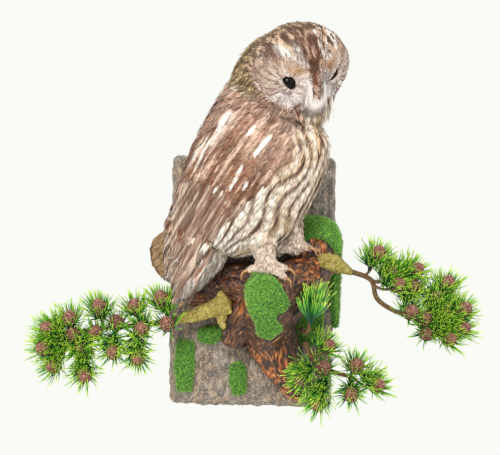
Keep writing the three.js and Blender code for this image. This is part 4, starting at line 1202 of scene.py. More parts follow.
def glass_eye_material():
    """Blown glass with a black back: almost black brown under a clear, wet-looking polish."""
    material, tree, surface = begin_material("glass_eye_black_brown", 0.1, Specular_IOR_Level=0.15)
    place = add(tree, "ShaderNodeTexCoord").outputs["Object"]
    depth = add(tree, "ShaderNodeTexNoise", {"Vector": place}, in_Scale=per_mm(4.0), in_Detail=2.0)
    ramp = colour_ramp(tree, depth.outputs["Fac"], [(0.35, "#040404"), (0.75, "#0d0806")])
    tree.links.new(ramp, surface.inputs["Base Color"])
    return material


def horn_material(name, pale, dark, roughness, grain_mm):
    """Keratin horn: fine grain in two tones, with a dull polish."""
    material, tree, surface = begin_material(name, roughness, Coat_Weight=0.15)
    place = add(tree, "ShaderNodeTexCoord").outputs["Object"]
    grain = add(tree, "ShaderNodeTexNoise", {"Vector": place}, in_Scale=per_mm(grain_mm), in_Detail=4.0)
    ramp = colour_ramp(tree, grain.outputs["Fac"], [(0.3, dark), (0.65, pale)])
    tree.links.new(ramp, surface.inputs["Base Color"])
    add_bump(tree, surface, grain.outputs["Fac"], 0.12, 0.5)
    return material


def lid_material():
    """Dry eyelid skin: thin, wrinkled and grey brown."""
    material, tree, surface = begin_material("lid_skin_grey_brown", 0.7)
    place = add(tree, "ShaderNodeTexCoord").outputs["Object"]
    folds = add(tree, "ShaderNodeTexNoise", {"Vector": place}, in_Scale=per_mm(0.9), in_Detail=5.0)
    ramp = colour_ramp(tree, folds.outputs["Fac"], [(0.3, "#5d4a43"), (0.7, "#8f7a70")])
    tree.links.new(ramp, surface.inputs["Base Color"])
    add_bump(tree, surface, folds.outputs["Fac"], 0.3, 0.7)
    return material


def ring_mesh(name, rings):
    """A closed tube round a closed loop of rings, as an object."""
    rings = np.asarray(rings)
    around, sides = rings.shape[:2]
    index = np.arange(around * sides).reshape(around, sides)
    ahead = np.roll(index, -1, axis=0)
    faces = np.stack([index, np.roll(index, -1, 1), np.roll(ahead, -1, 1), ahead], -1)
    return smooth_shaded(make_mesh(name, rings.reshape(-1, 3), faces.reshape(-1, 4)))


def build_eyes():
    """A glass ball behind each pair of lids, whose almond opening falls towards the bill."""
    glass = glass_eye_material()
    lid_skin = lid_material()
    for name, side in (("right", -1), ("left", 1)):
        centre, gaze, long_way, short_way = eye_axes(name, side)
        rows, columns = 24, 40
        polar = np.linspace(0, math.pi, rows + 1)[1:-1]
        turn = np.linspace(0, 2 * math.pi, columns, endpoint=False)
        ball = (np.cos(polar)[:, None, None] * gaze
                + np.sin(polar)[:, None, None] * (np.cos(turn)[:, None] * long_way + np.sin(turn)[:, None] * short_way))
        bulge = 1 + 0.05 * np.exp(-(polar / 0.7) ** 2)
        ball = ball * (EYE_RADIUS * bulge)[:, None, None]
        points = np.concatenate([[gaze * EYE_RADIUS * 1.05], ball.reshape(-1, 3), [-gaze * EYE_RADIUS]]) + centre
        faces = []
        count = columns * len(polar)
        for row in range(len(polar) - 1):
            for k in range(columns):
                a = 1 + row * columns + k
                b = 1 + row * columns + (k + 1) % columns
                faces += [(a, a + columns, b + columns), (a, b + columns, b)]
        for k in range(columns):
            after = (k + 1) % columns
            faces.append((0, 1 + k, 1 + after))
            faces.append((count + 1, count + 1 - columns + after, count + 1 - columns + k))
        right_handed = np.cross(long_way, short_way) @ gaze > 0
        faces = np.array(faces) if right_handed else np.array(faces)[:, ::-1]
        eye = smooth_shaded(make_mesh(f"glass_eye_{name}", outof(HEAD, points), faces))
        eye.data.materials.append(glass)
        hand_over(eye, "glass_eye", f"eye_{name}")
        rings = []
        for angle in np.linspace(0, 2 * math.pi, 56, endpoint=False):
            wide, tall = (math.radians(a) for a in LID_OPENING[name])
            open_angle = 1 / math.hypot(math.cos(angle) / wide, math.sin(angle) / tall)
            out = math.cos(angle) * long_way + math.sin(angle) * short_way
            half = max(0.1, (LID_REACH - open_angle) / 2)
            ring = []
            for step in np.linspace(0, 2 * math.pi, 16, endpoint=False):
                reach = open_angle + half - half * math.cos(step)
                lift = EYE_RADIUS * 1.01 + LID_THICKNESS * (0.3 + 0.7 * math.sin(step))
                ring.append(centre + (gaze * math.cos(reach) + out * math.sin(reach)) * lift)
            rings.append(ring)
        rings = np.array(rings) if right_handed else np.array(rings)[:, ::-1]
        lid = ring_mesh(f"eyelids_{name}", outof(HEAD, rings))
        lid.data.materials.append(lid_skin)
        hand_over(lid, "plumage")


def smooth_copy(label, names, levels):
    """Rounded copies of faceted CAD nodes in one mesh."""
    piece = joined_nodes(label, names, 0)
    rounding = piece.modifiers.new("rounding", "SUBSURF")
    rounding.levels = levels
    rounding.render_levels = levels
    return smooth_shaded(settled(piece))


def build_horn():
    """The hooked bill and the eight claws."""
    bill = smooth_copy("bill_horn", ["bill"], 2)
    bill.data.materials.append(horn_material("bill_horn_red_brown", "#6b3a2c", "#3f2019", 0.42, 1.6))
    hand_over(bill, "bill_horn", "bill")
    claw_horn = horn_material("claw_horn_amber", "#b98a58", "#5c3a22", 0.32, 2.2)
    for name in ("right", "left"):
        nodes = [f"talon_{name}_{i}" for i in range(1, 5)]
        claws = smooth_copy(f"claws_{name}", nodes, 2)
        claws.data.materials.append(claw_horn)
        hand_over(claws, "claw_horn", *nodes)


# ---------------------------------------------------------------- the plaque
def bark_crust_material():
    """Ground bark set in glue and varnished: ridged, grey brown, its grains glinting under the lamp and painted with
    near-white specks as glints.
    """
    material, tree, surface = begin_material("bark_crust_grey_brown", 0.3, Specular_IOR_Level=0.6)
    place = add(tree, "ShaderNodeTexCoord").outputs["Object"]
    drawn = add(tree, "ShaderNodeMapping", {"Vector": place}, in_Rotation=(0, 0.25, 0),
                in_Scale=(1, 1, 0.5)).outputs["Vector"]
    crust = add(tree, "ShaderNodeTexNoise", {"Vector": drawn}, in_Scale=per_mm(6.5), in_Detail=8.0, in_Roughness=0.72)
    patches = add(tree, "ShaderNodeTexNoise", {"Vector": place}, in_Scale=per_mm(26), in_Detail=3.0)
    grains = add(tree, "ShaderNodeTexNoise", {"Vector": place}, in_Scale=per_mm(1.7), in_Detail=3.0,
                 in_Roughness=0.8)
    brown = colour_ramp(tree, crust.outputs["Fac"], [
        (0.4, "#120b07"), (0.46, "#442f1f"), (0.52, "#78593b"), (0.6, "#b8966b")])
    grey = colour_ramp(tree, crust.outputs["Fac"], [
        (0.4, "#1a120d"), (0.46, "#524336"), (0.52, "#7b6a59"), (0.6, "#b0a08e")])
    zone = colour_ramp(tree, patches.outputs["Fac"], [(0.42, "#000000"), (0.58, "#ffffff")])
    both = mixed(tree, brown, grey, zone)
    # painted glints: near-white specks on the grains, in the base colour
    painted_glints = colour_ramp(tree, grains.outputs["Fac"], [
        (0.36, "#2c221c"), (0.52, "#9c8d80"), (0.6, "#f4efe8")])
    tree.links.new(mixed(tree, both, painted_glints, 0.35), surface.inputs["Base Color"])
    rough = add_bump(tree, surface, crust.outputs["Fac"], 2.2, 1.0)
    add_bump(tree, surface, grains.outputs["Fac"], 0.9, 0.9, rough)
    return material


def mixed(tree, first, second, share, blend="MIX"):
    node = add(tree, "ShaderNodeMix", data_type="RGBA", blend_type=blend)
    if hasattr(share, "links"):
        tree.links.new(share, node.inputs[0])
    else:
        node.inputs[0].default_value = share
    tree.links.new(first, node.inputs[6])
    tree.links.new(second, node.inputs[7])
    return node.outputs[2]


def build_plaque():
    """The plaque's board, its front and edges under a thick uneven crust of bark."""
    plaque = remeshed(joined_nodes("bark_plaque", ["plaque"], 0), 2.2 * MM, 3)
    points = points_of(plaque)
    normals = point_normals(points, triangles_of(plaque))
    lumps = layered(points / (14 * MM), 51) - 0.5
    grit = layered(points / (4.5 * MM), 54) - 0.5
    bare_back = ease(-2.5 * MM, -6 * MM, points[:, 1])
    ridges = layered(points / (np.array([6.5, 12, 24]) * MM), 57) - 0.5
    crust = (3.5 * lumps + 2.4 * grit + 6 * ridges) * MM * bare_back
    set_points(plaque, points + normals * crust[:, None])
    smooth_shaded(plaque)
    plaque.data.materials.append(bark_crust_material())
    hand_over(plaque, "bark", "plaque")


# ---------------------------------------------------------------- the driftwood
# Lines that the wood grain follows, from x, z to x, z in mm, each with its depth.
GRAIN_LINES = [
    ((84, 80), (78, 20), -54),
    ((78, 20), (20, -40), -58),
    ((20, -40), (40, -120), -54),
    ((40, -110), (58, -155), -42),
    ((20, -20), (-60, -5), -50),
    ((-40, 12), (-104, 27), -36),
    ((-36, -12), (-90, -27), -36),
    ((0, -35), (-28, -82), -58),
    ((60, 8), (20, -20), -115),
]
# Lighter, orange faces of the wood: x, z and radius in mm.
ORANGE_FACES = [(88, 40, 40), (96, 0, 26), (-88, 26, 26), (-84, -24, 24), (30, -110, 30), (4, -96, 22),
                (48, -140, 26), (-12, -30, 12)]


def grain_coordinates(points):
    """Places in the wood as slow along the grain and quick across it."""
    best = np.full(len(points), 1e9)
    grain = np.zeros_like(points)
    for number, (start, end, depth) in enumerate(GRAIN_LINES):
        a = outof(LEAN, [[start[0], depth, start[1]]])[0]
        b = outof(LEAN, [[end[0], depth, end[1]]])[0]
        ahead = unit(b - a)
        length = np.linalg.norm(b - a)
        along = np.clip((points - a) @ ahead, 0, length)
        off = points - a - along[:, None] * ahead
        distance = np.linalg.norm(off, axis=1)
        up = unit(np.cross(ahead, [0, 1, 0]))
        out = np.cross(up, ahead)
        mine = distance < best
        best[mine] = distance[mine]
        here = np.stack([off @ up + number * 0.1, off @ out, ((points - a) @ ahead) * 0.14], 1)
        grain[mine] = here[mine]
    return grain


def driftwood_material():
    """Weathered root under brown stain and gloss varnish: torn fibres, dark in the hollows."""
    material, tree, surface = begin_material("driftwood_varnished", 0.28, Specular_IOR_Level=0.55)
    grain = add(tree, "ShaderNodeAttribute", attribute_name="Grain").outputs["Vector"]
    share = add(tree, "ShaderNodeAttribute", attribute_name="Fresh wood").outputs["Fac"]
    fibres = add(tree, "ShaderNodeTexNoise", {"Vector": grain}, in_Scale=per_mm(3.4), in_Detail=7.0,
                 in_Roughness=0.7)
    old = colour_ramp(tree, fibres.outputs["Fac"], [
        (0.36, "#0d0707"), (0.47, "#2c1814"), (0.55, "#543425"), (0.66, "#a4744c")])
    fresh = colour_ramp(tree, fibres.outputs["Fac"], [
        (0.36, "#241009"), (0.46, "#6f3518"), (0.55, "#b86a30"), (0.66, "#f2b878")])
    tree.links.new(mixed(tree, old, fresh, share), surface.inputs["Base Color"])
    add_bump(tree, surface, fibres.outputs["Fac"], 2.0, 1.0)
    return material


def build_driftwood():
    """The root: split, ridged along its grain and pocked."""
    root = remeshed(joined_nodes("driftwood_root", ["root"], 0), 1.7 * MM, 4)
    points = points_of(root)
    normals = point_normals(points, triangles_of(root))
    grain = grain_coordinates(points)
    ridges = 1 - np.abs(2 * layered(grain / (7 * MM), 61) - 1)
    fibres = layered(grain / (3.4 * MM), 64) - 0.5
    lumps = layered(points / (22 * MM), 67) - 0.5
    rough = (4.5 * (ridges - 0.75) + 3 * fibres + 5 * lumps) * MM
    set_points(root, points + normals * rough[:, None])
    layer = root.data.attributes.new("Grain", "FLOAT_VECTOR", "POINT")
    layer.data.foreach_set("vector", grain.astype(np.float32).ravel())
    flat = into(LEAN, points)
    lit = np.zeros(len(points))
    for x, z, radius in ORANGE_FACES:
        lit = np.maximum(lit, ease(radius * 1.25, radius * 0.6, np.hypot(flat[:, 0] - x, flat[:, 2] - z)))
    streaks = ease(0.42, 0.58, layered(grain / (6 * MM), 73))
    fresh = streaks * (0.22 + 0.75 * lit) * ease(0.35, 0.75, ridges)
    layer = root.data.attributes.new("Fresh wood", "FLOAT", "POINT")
    layer.data.foreach_set("value", fresh.astype(np.float32))
    smooth_shaded(root)
    root.data.materials.append(driftwood_material())
    hand_over(root, "driftwood", "root")


def lichen_material():
    """Dyed lichen crumbs glued over a stub: dry, olive yellow and granular."""
    material, tree, surface = begin_material("lichen_crumb_olive", 0.95)
    place = add(tree, "ShaderNodeTexCoord").outputs["Object"]
    crumbs = add(tree, "ShaderNodeTexVoronoi", {"Vector": place}, in_Scale=per_mm(1.8))
    patches = add(tree, "ShaderNodeTexNoise", {"Vector": place}, in_Scale=per_mm(11), in_Detail=5.0)
    ramp = colour_ramp(tree, patches.outputs["Fac"], [
        (0.3, "#5d4a26"), (0.45, "#8b7a35"), (0.6, "#aa9a4b"), (0.75, "#7c6a34")])
    dots = colour_ramp(tree, crumbs.outputs["Color"], [(0.2, "#6c5a2c"), (0.6, "#a3954a"), (0.9, "#d3c98a")])
    tree.links.new(mixed(tree, ramp, dots, 0.5), surface.inputs["Base Color"])
    add_bump(tree, surface, crumbs.outputs["Distance"], 0.8, 1.0)
    return material


def build_lichen_stubs():
    crumbly = lichen_material()
    for side in ("left", "right"):
        node = f"lichen_stub_{side}"
        stub = remeshed(joined_nodes(f"lichened_branch_{side}", [node], 0), 1.1 * MM, 5)
        points = points_of(stub)
        normals = point_normals(points, triangles_of(stub))
        knobs = layered(points / (9 * MM), 81) - 0.5
        crumbs = noise(points / (1.9 * MM), 84) - 0.5
        set_points(stub, points + normals * ((3.5 * knobs + 1.1 * crumbs) * MM)[:, None])
        smooth_shaded(stub)
        stub.data.materials.append(crumbly)
        hand_over(stub, "lichen", node)


# ---------------------------------------------------------------- geometry node trees
def begin_tree(name, inputs):
    """A geometry node tree with named inputs, each given as its socket type and value."""
    tree = bpy.data.node_groups.new(name, "GeometryNodeTree")
    tree.interface.new_socket("Geometry", in_out="INPUT", socket_type="NodeSocketGeometry")
    for label, (kind, value) in inputs.items():
        socket = tree.interface.new_socket(label, in_out="INPUT", socket_type="NodeSocket" + kind)
        if value is not None:
            socket.default_value = value
    tree.interface.new_socket("Geometry", in_out="OUTPUT", socket_type="NodeSocketGeometry")
    start = tree.nodes.new("NodeGroupInput")
    return tree, start.outputs


def end_tree(tree, source, given):
    """Realizes the instances, sets the material and closes the tree."""
    real = add(tree, "GeometryNodeRealizeInstances", {"Geometry": source})
    dressed = add(tree, "GeometryNodeSetMaterial", {"Geometry": real.outputs[0], "Material": given["Material"]})
    end = tree.nodes.new("NodeGroupOutput")
    tree.links.new(dressed.outputs[0], end.inputs[0])


def grown(obj, tree, values):
    """Runs a tree on an object and keeps the result as its plain mesh."""
    modifier = obj.modifiers.new(tree.name, "NODES")
    modifier.node_group = tree
    for item in tree.interface.items_tree:
        if item.item_type == "SOCKET" and item.in_out == "INPUT" and item.name in values:
            modifier[item.identifier] = values[item.name]
    return settled(obj)


# ---------------------------------------------------------------- moss
MOSS_PADS = ["moss_perch", "moss_crest", "moss_hollow", "moss_flank", "moss_left", "moss_low", "moss_gap"]


def moss_material(name, dark, middle, light):
    """Dyed flock moss: soft matt fibres, brighter towards their tips."""
    material, tree, surface = begin_material(name, 0.8, Sheen_Weight=0.2)
    place = add(tree, "ShaderNodeTexCoord").outputs["Object"]
    along = add(tree, "ShaderNodeAttribute", attribute_name="Along").outputs["Fac"]
    clumps = add(tree, "ShaderNodeTexNoise", {"Vector": place}, in_Scale=per_mm(2.6), in_Detail=3.0,
                 in_Roughness=0.7)
    spread = add(tree, "ShaderNodeMath", {0: clumps.outputs["Fac"]}, in_1=-0.5, operation="ADD")
    tall = add(tree, "ShaderNodeMath", {0: along}, in_1=0.55, operation="MULTIPLY")
    both = add(tree, "ShaderNodeMath", {0: spread.outputs[0], 2: tall.outputs[0]}, in_1=1.8, operation="MULTIPLY_ADD")
    ramp = colour_ramp(tree, both.outputs[0], [(0.0, dark), (0.28, middle), (0.62, light)])
    tree.links.new(ramp, surface.inputs["Base Color"])
    add_bump(tree, surface, clumps.outputs["Fac"], 0.5, 0.5)
    return material


def moss_tree():
    """Short leaning fibres spread over a pad, kept with the pad itself."""
    tree, given = begin_tree("moss_fibres", {
        "Fibre length": ("Float", 5 * MM), "Fibre width": ("Float", 0.55 * MM),
        "Fibres per square metre": ("Float", 1.3e6), "Lean": ("Float", 1.0), "Seed": ("Int", 3),
        "Material": ("Material", None)})
    spread = add(tree, "GeometryNodeDistributePointsOnFaces", {
        "Mesh": given["Geometry"], "Density": given["Fibres per square metre"], "Seed": given["Seed"]})
    fibre = add(tree, "GeometryNodeMeshCone", {
        "Radius Bottom": given["Fibre width"], "Depth": given["Fibre length"]}, in_Vertices=3)
    place = add(tree, "GeometryNodeInputPosition").outputs[0]
    height = add(tree, "ShaderNodeSeparateXYZ", {0: place}).outputs["Z"]
    share = add(tree, "ShaderNodeMath", {0: height, 1: given["Fibre length"]}, operation="DIVIDE").outputs[0]
    named = add(tree, "GeometryNodeStoreNamedAttribute", {"Geometry": fibre.outputs["Mesh"], "Value": share},
                data_type="FLOAT", domain="POINT", in_Name="Along")
    least = add(tree, "ShaderNodeMath", {0: given["Lean"]}, in_1=-1.0, operation="MULTIPLY")
    lean = add(tree, "FunctionNodeRandomValue", {
        "Min": least.outputs[0], "Max": given["Lean"], "Seed": given["Seed"]}, data_type="FLOAT_VECTOR")
    tilt = add(tree, "FunctionNodeEulerToRotation", {0: lean.outputs[0]})
    stand = add(tree, "FunctionNodeRotateRotation", {
        0: spread.outputs["Rotation"], 1: tilt.outputs[0]}, rotation_space="LOCAL")
    size = add(tree, "FunctionNodeRandomValue", {"Seed": given["Seed"]}, data_type="FLOAT")
    size.inputs[2].default_value = 0.55
    size.inputs[3].default_value = 1.2
    placed = add(tree, "GeometryNodeInstanceOnPoints", {
        "Points": spread.outputs["Points"], "Instance": named.outputs[0],
        "Rotation": stand.outputs[0], "Scale": size.outputs[1]})
    joined = add(tree, "GeometryNodeJoinGeometry")
    tree.links.new(placed.outputs[0], joined.inputs[0])
    tree.links.new(given["Geometry"], joined.inputs[0])
    end_tree(tree, joined.outputs[0], given)
    return tree


def build_moss():
    tree = moss_tree()
    bright = moss_material("moss_flock_green", "#245f14", "#5fac2c", "#b6ea5c")
    for node in MOSS_PADS:
        pad = remeshed(joined_nodes(node + "_flock", [node], 0.6 * MM), 1.6 * MM, 4)
        points = points_of(pad)
        normals = point_normals(points, triangles_of(pad))
        clumps = layered(points / (7 * MM), 91) - 0.5
        set_points(pad, points + normals * (3 * MM * clumps)[:, None])
        grown(pad, tree, {"Material": bright})
        smooth_shaded(pad)
        hand_over(pad, "moss", node)


# ---------------------------------------------------------------- artificial pine
# Each bough: its main stem as x, y, z, radius rows, and the ends of its cones as x, z, in mm.
BOUGHS = {
    "left": {
        "stem": [(-95, -60, -46, 3.4), (-130, -56, -52, 3.2), (-180, -52, -58, 3), (-238, -50, -64, 2.6)],
        "cones": [(-268, -53), (-237, -38), (-198, -22), (-154, -22), (-120, -11), (-112, -47),
                  (-177, -44), (-144, -54), (-204, -59), (-233, -61), (-273, -80), (-223, -83),
                  (-181, -87), (-149, -97), (-261, -107), (-216, -118)],
    },
    "right": {
        "stem": [(125, -60, 15, 3.4), (152, -56, 4, 3.2), (160, -54, -20, 3.2), (182, -52, -36, 3),
                 (222, -50, -52, 2.6)],
        "cones": [(161, 46), (179, 20), (187, 4), (206, 2), (212, 23), (249, 8), (237, -10), (202, -31),
                  (220, -39), (251, -28), (272, -27), (223, -62), (254, -68), (272, -53)],
    },
    "low": {
        "stem": [(66, -62, -76, 4), (74, -66, -96, 3.4), (96, -62, -112, 3), (128, -58, -122, 2.6)],
        "cones": [(99, -75), (91, -104), (132, -98), (57, -124), (163, -127), (124, -141), (79, -157)],
    },
}
CONE_DEPTH = -84
CONE_LENGTH = 23
CONE_WIDTH = 20
NEEDLE_LENGTH = 30
TUFT_STEP = 9                         # mm between the whorls of needles along a twig
LONE_TUFT_STEM = [(62, -66, -60, 4), (66, -84, -62, 3), (69, -102, -56, 2.6), (71, -112, -38, 2.2)]


def through(rows, steps):
    """Rows of numbers carried on a Catmull-Rom curve through the given rows."""
    rows = np.asarray(rows, float)
    spans = len(rows) - 1
    along = np.linspace(0, spans, steps + 1)
    span = np.minimum(along.astype(int), spans - 1)
    t = (along - span)[:, None]
    p, q, r, s = [rows[np.clip(span + k, 0, spans)] for k in (-1, 0, 1, 2)]
    return 0.5 * (2 * q + (r - p) * t + (2 * p - 5 * q + 4 * r - s) * t ** 2
                  + (3 * q - p - 3 * r + s) * t ** 3)


def rod(path, radii, sides=8):
    """Points and triangles of a closed round rod along a path, in the path's own units."""
    path = np.asarray(path, float)
    ahead = unit(np.gradient(path, axis=0))
    across = np.cross([0.0, 0.0, 1.0], ahead[0])
    if np.linalg.norm(across) < 0.1:
        across = np.array([1.0, 0, 0])
    rings = []
    for centre, way, radius in zip(path, ahead, radii):
        across = unit(across - way * (across @ way))
        up = np.cross(way, across)
        turn = np.linspace(0, 2 * math.pi, sides, endpoint=False)[:, None]
        rings.append(centre + radius * (np.cos(turn) * across + np.sin(turn) * up))
    points = np.concatenate([*rings, [path[0]], [path[-1]]])
    last = len(points) - 1
    faces = []
    for row in range(len(path) - 1):
        for k in range(sides):
            a, b = row * sides + k, row * sides + (k + 1) % sides
            faces += [(a, b, b + sides), (a, b + sides, a + sides)]
    top = (len(path) - 1) * sides
    for k in range(sides):
        after = (k + 1) % sides
        faces += [(last - 1, after, k), (last, top + k, top + after)]
    return points, np.array(faces)


def joined_rods(name, rods):
    points, faces, count = [], [], 0
    for rod_points, rod_faces in rods:
        points.append(rod_points)
        faces.append(rod_faces + count)
        count += len(rod_points)
    return smooth_shaded(make_mesh(name, np.concatenate(points), np.concatenate(faces)))


def sprays(bough):
    """Where each side twig leaves the stem, the root and tip of its cone, and where the cone points."""
    path = through(bough["stem"], 24)[:, :3]
    found = []
    for i, (x, z) in enumerate(bough["cones"]):
        tip = np.array([x, CONE_DEPTH + 6 * math.sin(i * 2.4), z])
        near = path[np.argmin(np.linalg.norm(path - tip, axis=1))]
        facing = unit(0.75 * unit(tip - near) + np.array([0, -0.5, 0.5]))
        found.append((near, tip - facing * CONE_LENGTH, facing))
    return found


def points_with_facing(name, places, facings):
    """A mesh of loose points that each carry a direction."""
    mesh = bpy.data.meshes.new(name)
    mesh.from_pydata([tuple(p) for p in places], [], [])
    layer = mesh.attributes.new("Facing", "FLOAT_VECTOR", "POINT")
    layer.data.foreach_set("vector", np.asarray(facings, np.float32).ravel())
    obj = bpy.data.objects.new(name, mesh)
    bpy.context.scene.collection.objects.link(obj)
    return obj


def add_golden_turn(tree, count, given_tilt):
    """Rotations for points in order: each a golden angle further round, tilted by the given socket."""
    index = add(tree, "GeometryNodeInputIndex").outputs[0]
    turn = add(tree, "ShaderNodeMath", {0: index}, in_1=2.39996, operation="MULTIPLY")
    angles = add(tree, "ShaderNodeCombineXYZ", {"Y": given_tilt, "Z": turn.outputs[0]})
    return add(tree, "FunctionNodeEulerToRotation", {0: angles.outputs[0]}).outputs[0]


def needle_tree():
    """A tuft of curved needles on each point, opening round the point's direction."""
    tree, given = begin_tree("pine_needles", {
        "Needles": ("Int", 84), "Needle length": ("Float", NEEDLE_LENGTH * MM),
        "Needle width": ("Float", 0.95 * MM), "Narrowest": ("Float", 0.2), "Widest": ("Float", 1.25),
        "Rooted over": ("Float", 11 * MM), "Seed": ("Int", 5), "Material": ("Material", None)})
    line = add(tree, "GeometryNodeMeshLine", {"Count": given["Needles"]}, in_Offset=(0, 0, 0))
    index = add(tree, "GeometryNodeInputIndex").outputs[0]
    along_twig = add(tree, "FunctionNodeRandomValue", {"Max": given["Rooted over"], "Seed": given["Seed"]},
                     data_type="FLOAT")
    tree.links.new(given["Rooted over"], along_twig.inputs[3])
    root = add(tree, "ShaderNodeCombineXYZ", {"Z": along_twig.outputs[1]})
    rooted = add(tree, "GeometryNodeSetPosition", {"Geometry": line.outputs["Mesh"], "Offset": root.outputs[0]})
    tilt = add(tree, "FunctionNodeRandomValue", {"Seed": given["Seed"]}, data_type="FLOAT")
    tree.links.new(given["Narrowest"], tilt.inputs[2])
    tree.links.new(given["Widest"], tilt.inputs[3])
    stand = add_golden_turn(tree, index, tilt.outputs[1])
    cone = add(tree, "GeometryNodeMeshCone", {
        "Radius Bottom": given["Needle width"], "Depth": given["Needle length"]},
        in_Vertices=3, in_Side_Segments=3, in_Radius_Top=0.45 * MM)
    place = add(tree, "GeometryNodeInputPosition").outputs[0]
    height = add(tree, "ShaderNodeSeparateXYZ", {0: place}).outputs["Z"]
    share = add(tree, "ShaderNodeMath", {0: height, 1: given["Needle length"]}, operation="DIVIDE").outputs[0]
    named = add(tree, "GeometryNodeStoreNamedAttribute", {"Geometry": cone.outputs["Mesh"], "Value": share},
                data_type="FLOAT", domain="POINT", in_Name="Along")
    squared = add(tree, "ShaderNodeMath", {0: share, 1: height}, operation="MULTIPLY")
    bend = add(tree, "ShaderNodeMath", {0: squared.outputs[0]}, in_1=-0.28, operation="MULTIPLY")
    bow = add(tree, "ShaderNodeCombineXYZ", {"X": bend.outputs[0]})
    bowed = add(tree, "GeometryNodeSetPosition", {"Geometry": named.outputs[0], "Offset": bow.outputs[0]})
    size = add(tree, "FunctionNodeRandomValue", {"Seed": given["Seed"]}, data_type="FLOAT")
    size.inputs[2].default_value = 0.7
    size.inputs[3].default_value = 1.1
    tuft = add(tree, "GeometryNodeInstanceOnPoints", {
        "Points": rooted.outputs[0], "Instance": bowed.outputs[0], "Rotation": stand, "Scale": size.outputs[1]})
    on_points(tree, given, tuft.outputs[0])
    return tree


def on_points(tree, given, shape):
    """Stands a shape on every point of the input, along its direction and spun by chance."""
    facing = add(tree, "GeometryNodeInputNamedAttribute", in_Name="Facing", data_type="FLOAT_VECTOR")
    aim = add(tree, "FunctionNodeAlignRotationToVector", {"Vector": facing.outputs[0]}, axis="Z")
    spin = add(tree, "FunctionNodeRandomValue", {"Seed": given["Seed"]}, data_type="FLOAT")
    spin.inputs[3].default_value = 6.283
    about = add(tree, "ShaderNodeCombineXYZ", {"Z": spin.outputs[1]})
    spun = add(tree, "FunctionNodeEulerToRotation", {0: about.outputs[0]})
    turned_about = add(tree, "FunctionNodeRotateRotation", {0: aim.outputs[0], 1: spun.outputs[0]},
                       rotation_space="LOCAL")
    real = add(tree, "GeometryNodeRealizeInstances", {"Geometry": shape})
    placed = add(tree, "GeometryNodeInstanceOnPoints", {
        "Points": given["Geometry"], "Instance": real.outputs[0], "Rotation": turned_about.outputs[0]})
    end_tree(tree, placed.outputs[0], given)


def cone_tree():
    """A small closed cone: overlapping scales wound round an egg-shaped core."""
    tree, given = begin_tree("pine_cone_scales", {
        "Scales": ("Int", 70), "Cone length": ("Float", CONE_LENGTH * MM),
        "Cone width": ("Float", CONE_WIDTH * MM), "Scale size": ("Float", 3.3 * MM), "Seed": ("Int", 9),
        "Material": ("Material", None)})
    line = add(tree, "GeometryNodeMeshLine", {"Count": given["Scales"]}, in_Offset=(0, 0, 0))
    index = add(tree, "GeometryNodeInputIndex").outputs[0]
    share = add(tree, "ShaderNodeMath", {0: index, 1: given["Scales"]}, operation="DIVIDE").outputs[0]
    height = add(tree, "ShaderNodeMath", {0: share, 1: given["Cone length"]}, operation="MULTIPLY").outputs[0]
    arch = add(tree, "ShaderNodeMath", {0: share}, in_1=2.6, operation="MULTIPLY")
    open_arch = add(tree, "ShaderNodeMath", {0: arch.outputs[0]}, in_1=0.45, operation="ADD")
    swell = add(tree, "ShaderNodeMath", {0: open_arch.outputs[0]}, operation="SINE")
    half = add(tree, "ShaderNodeMath", {0: given["Cone width"]}, in_1=0.4, operation="MULTIPLY")
    radius = add(tree, "ShaderNodeMath", {0: swell.outputs[0], 1: half.outputs[0]}, operation="MULTIPLY")
    turn = add(tree, "ShaderNodeMath", {0: index}, in_1=2.39996, operation="MULTIPLY")
    cosine = add(tree, "ShaderNodeMath", {0: turn.outputs[0]}, operation="COSINE")
    sine = add(tree, "ShaderNodeMath", {0: turn.outputs[0]}, operation="SINE")
    x = add(tree, "ShaderNodeMath", {0: cosine.outputs[0], 1: radius.outputs[0]}, operation="MULTIPLY")
    y = add(tree, "ShaderNodeMath", {0: sine.outputs[0], 1: radius.outputs[0]}, operation="MULTIPLY")
    spot = add(tree, "ShaderNodeCombineXYZ", {"X": x.outputs[0], "Y": y.outputs[0], "Z": height})
    wound = add(tree, "GeometryNodeSetPosition", {"Geometry": line.outputs["Mesh"], "Position": spot.outputs[0]})
    slope = add(tree, "ShaderNodeMapRange", {"Value": share}, in_To_Min=1.25, in_To_Max=0.35)
    stand = add_golden_turn(tree, index, slope.outputs[0])
    leaf = add(tree, "GeometryNodeMeshUVSphere", {"Radius": given["Scale size"]}, in_Segments=6, in_Rings=4)
    flat = add(tree, "GeometryNodeTransform", {"Geometry": leaf.outputs["Mesh"]}, in_Scale=(0.42, 0.95, 1.0))
    scales = add(tree, "GeometryNodeInstanceOnPoints", {
        "Points": wound.outputs[0], "Instance": flat.outputs[0], "Rotation": stand})
    core = add(tree, "GeometryNodeMeshUVSphere", {"Radius": half.outputs[0]}, in_Segments=12, in_Rings=8)
    lift = add(tree, "ShaderNodeMath", {0: given["Cone length"]}, in_1=0.48, operation="MULTIPLY")
    middle = add(tree, "ShaderNodeCombineXYZ", {"Z": lift.outputs[0]})
    stretched = add(tree, "GeometryNodeTransform", {
        "Geometry": core.outputs["Mesh"], "Translation": middle.outputs[0]}, in_Scale=(0.92, 0.92, 1.6))
    joined = add(tree, "GeometryNodeJoinGeometry")
    tree.links.new(scales.outputs[0], joined.inputs[0])
    tree.links.new(stretched.outputs[0], joined.inputs[0])
    on_points(tree, given, joined.outputs[0])
    return tree


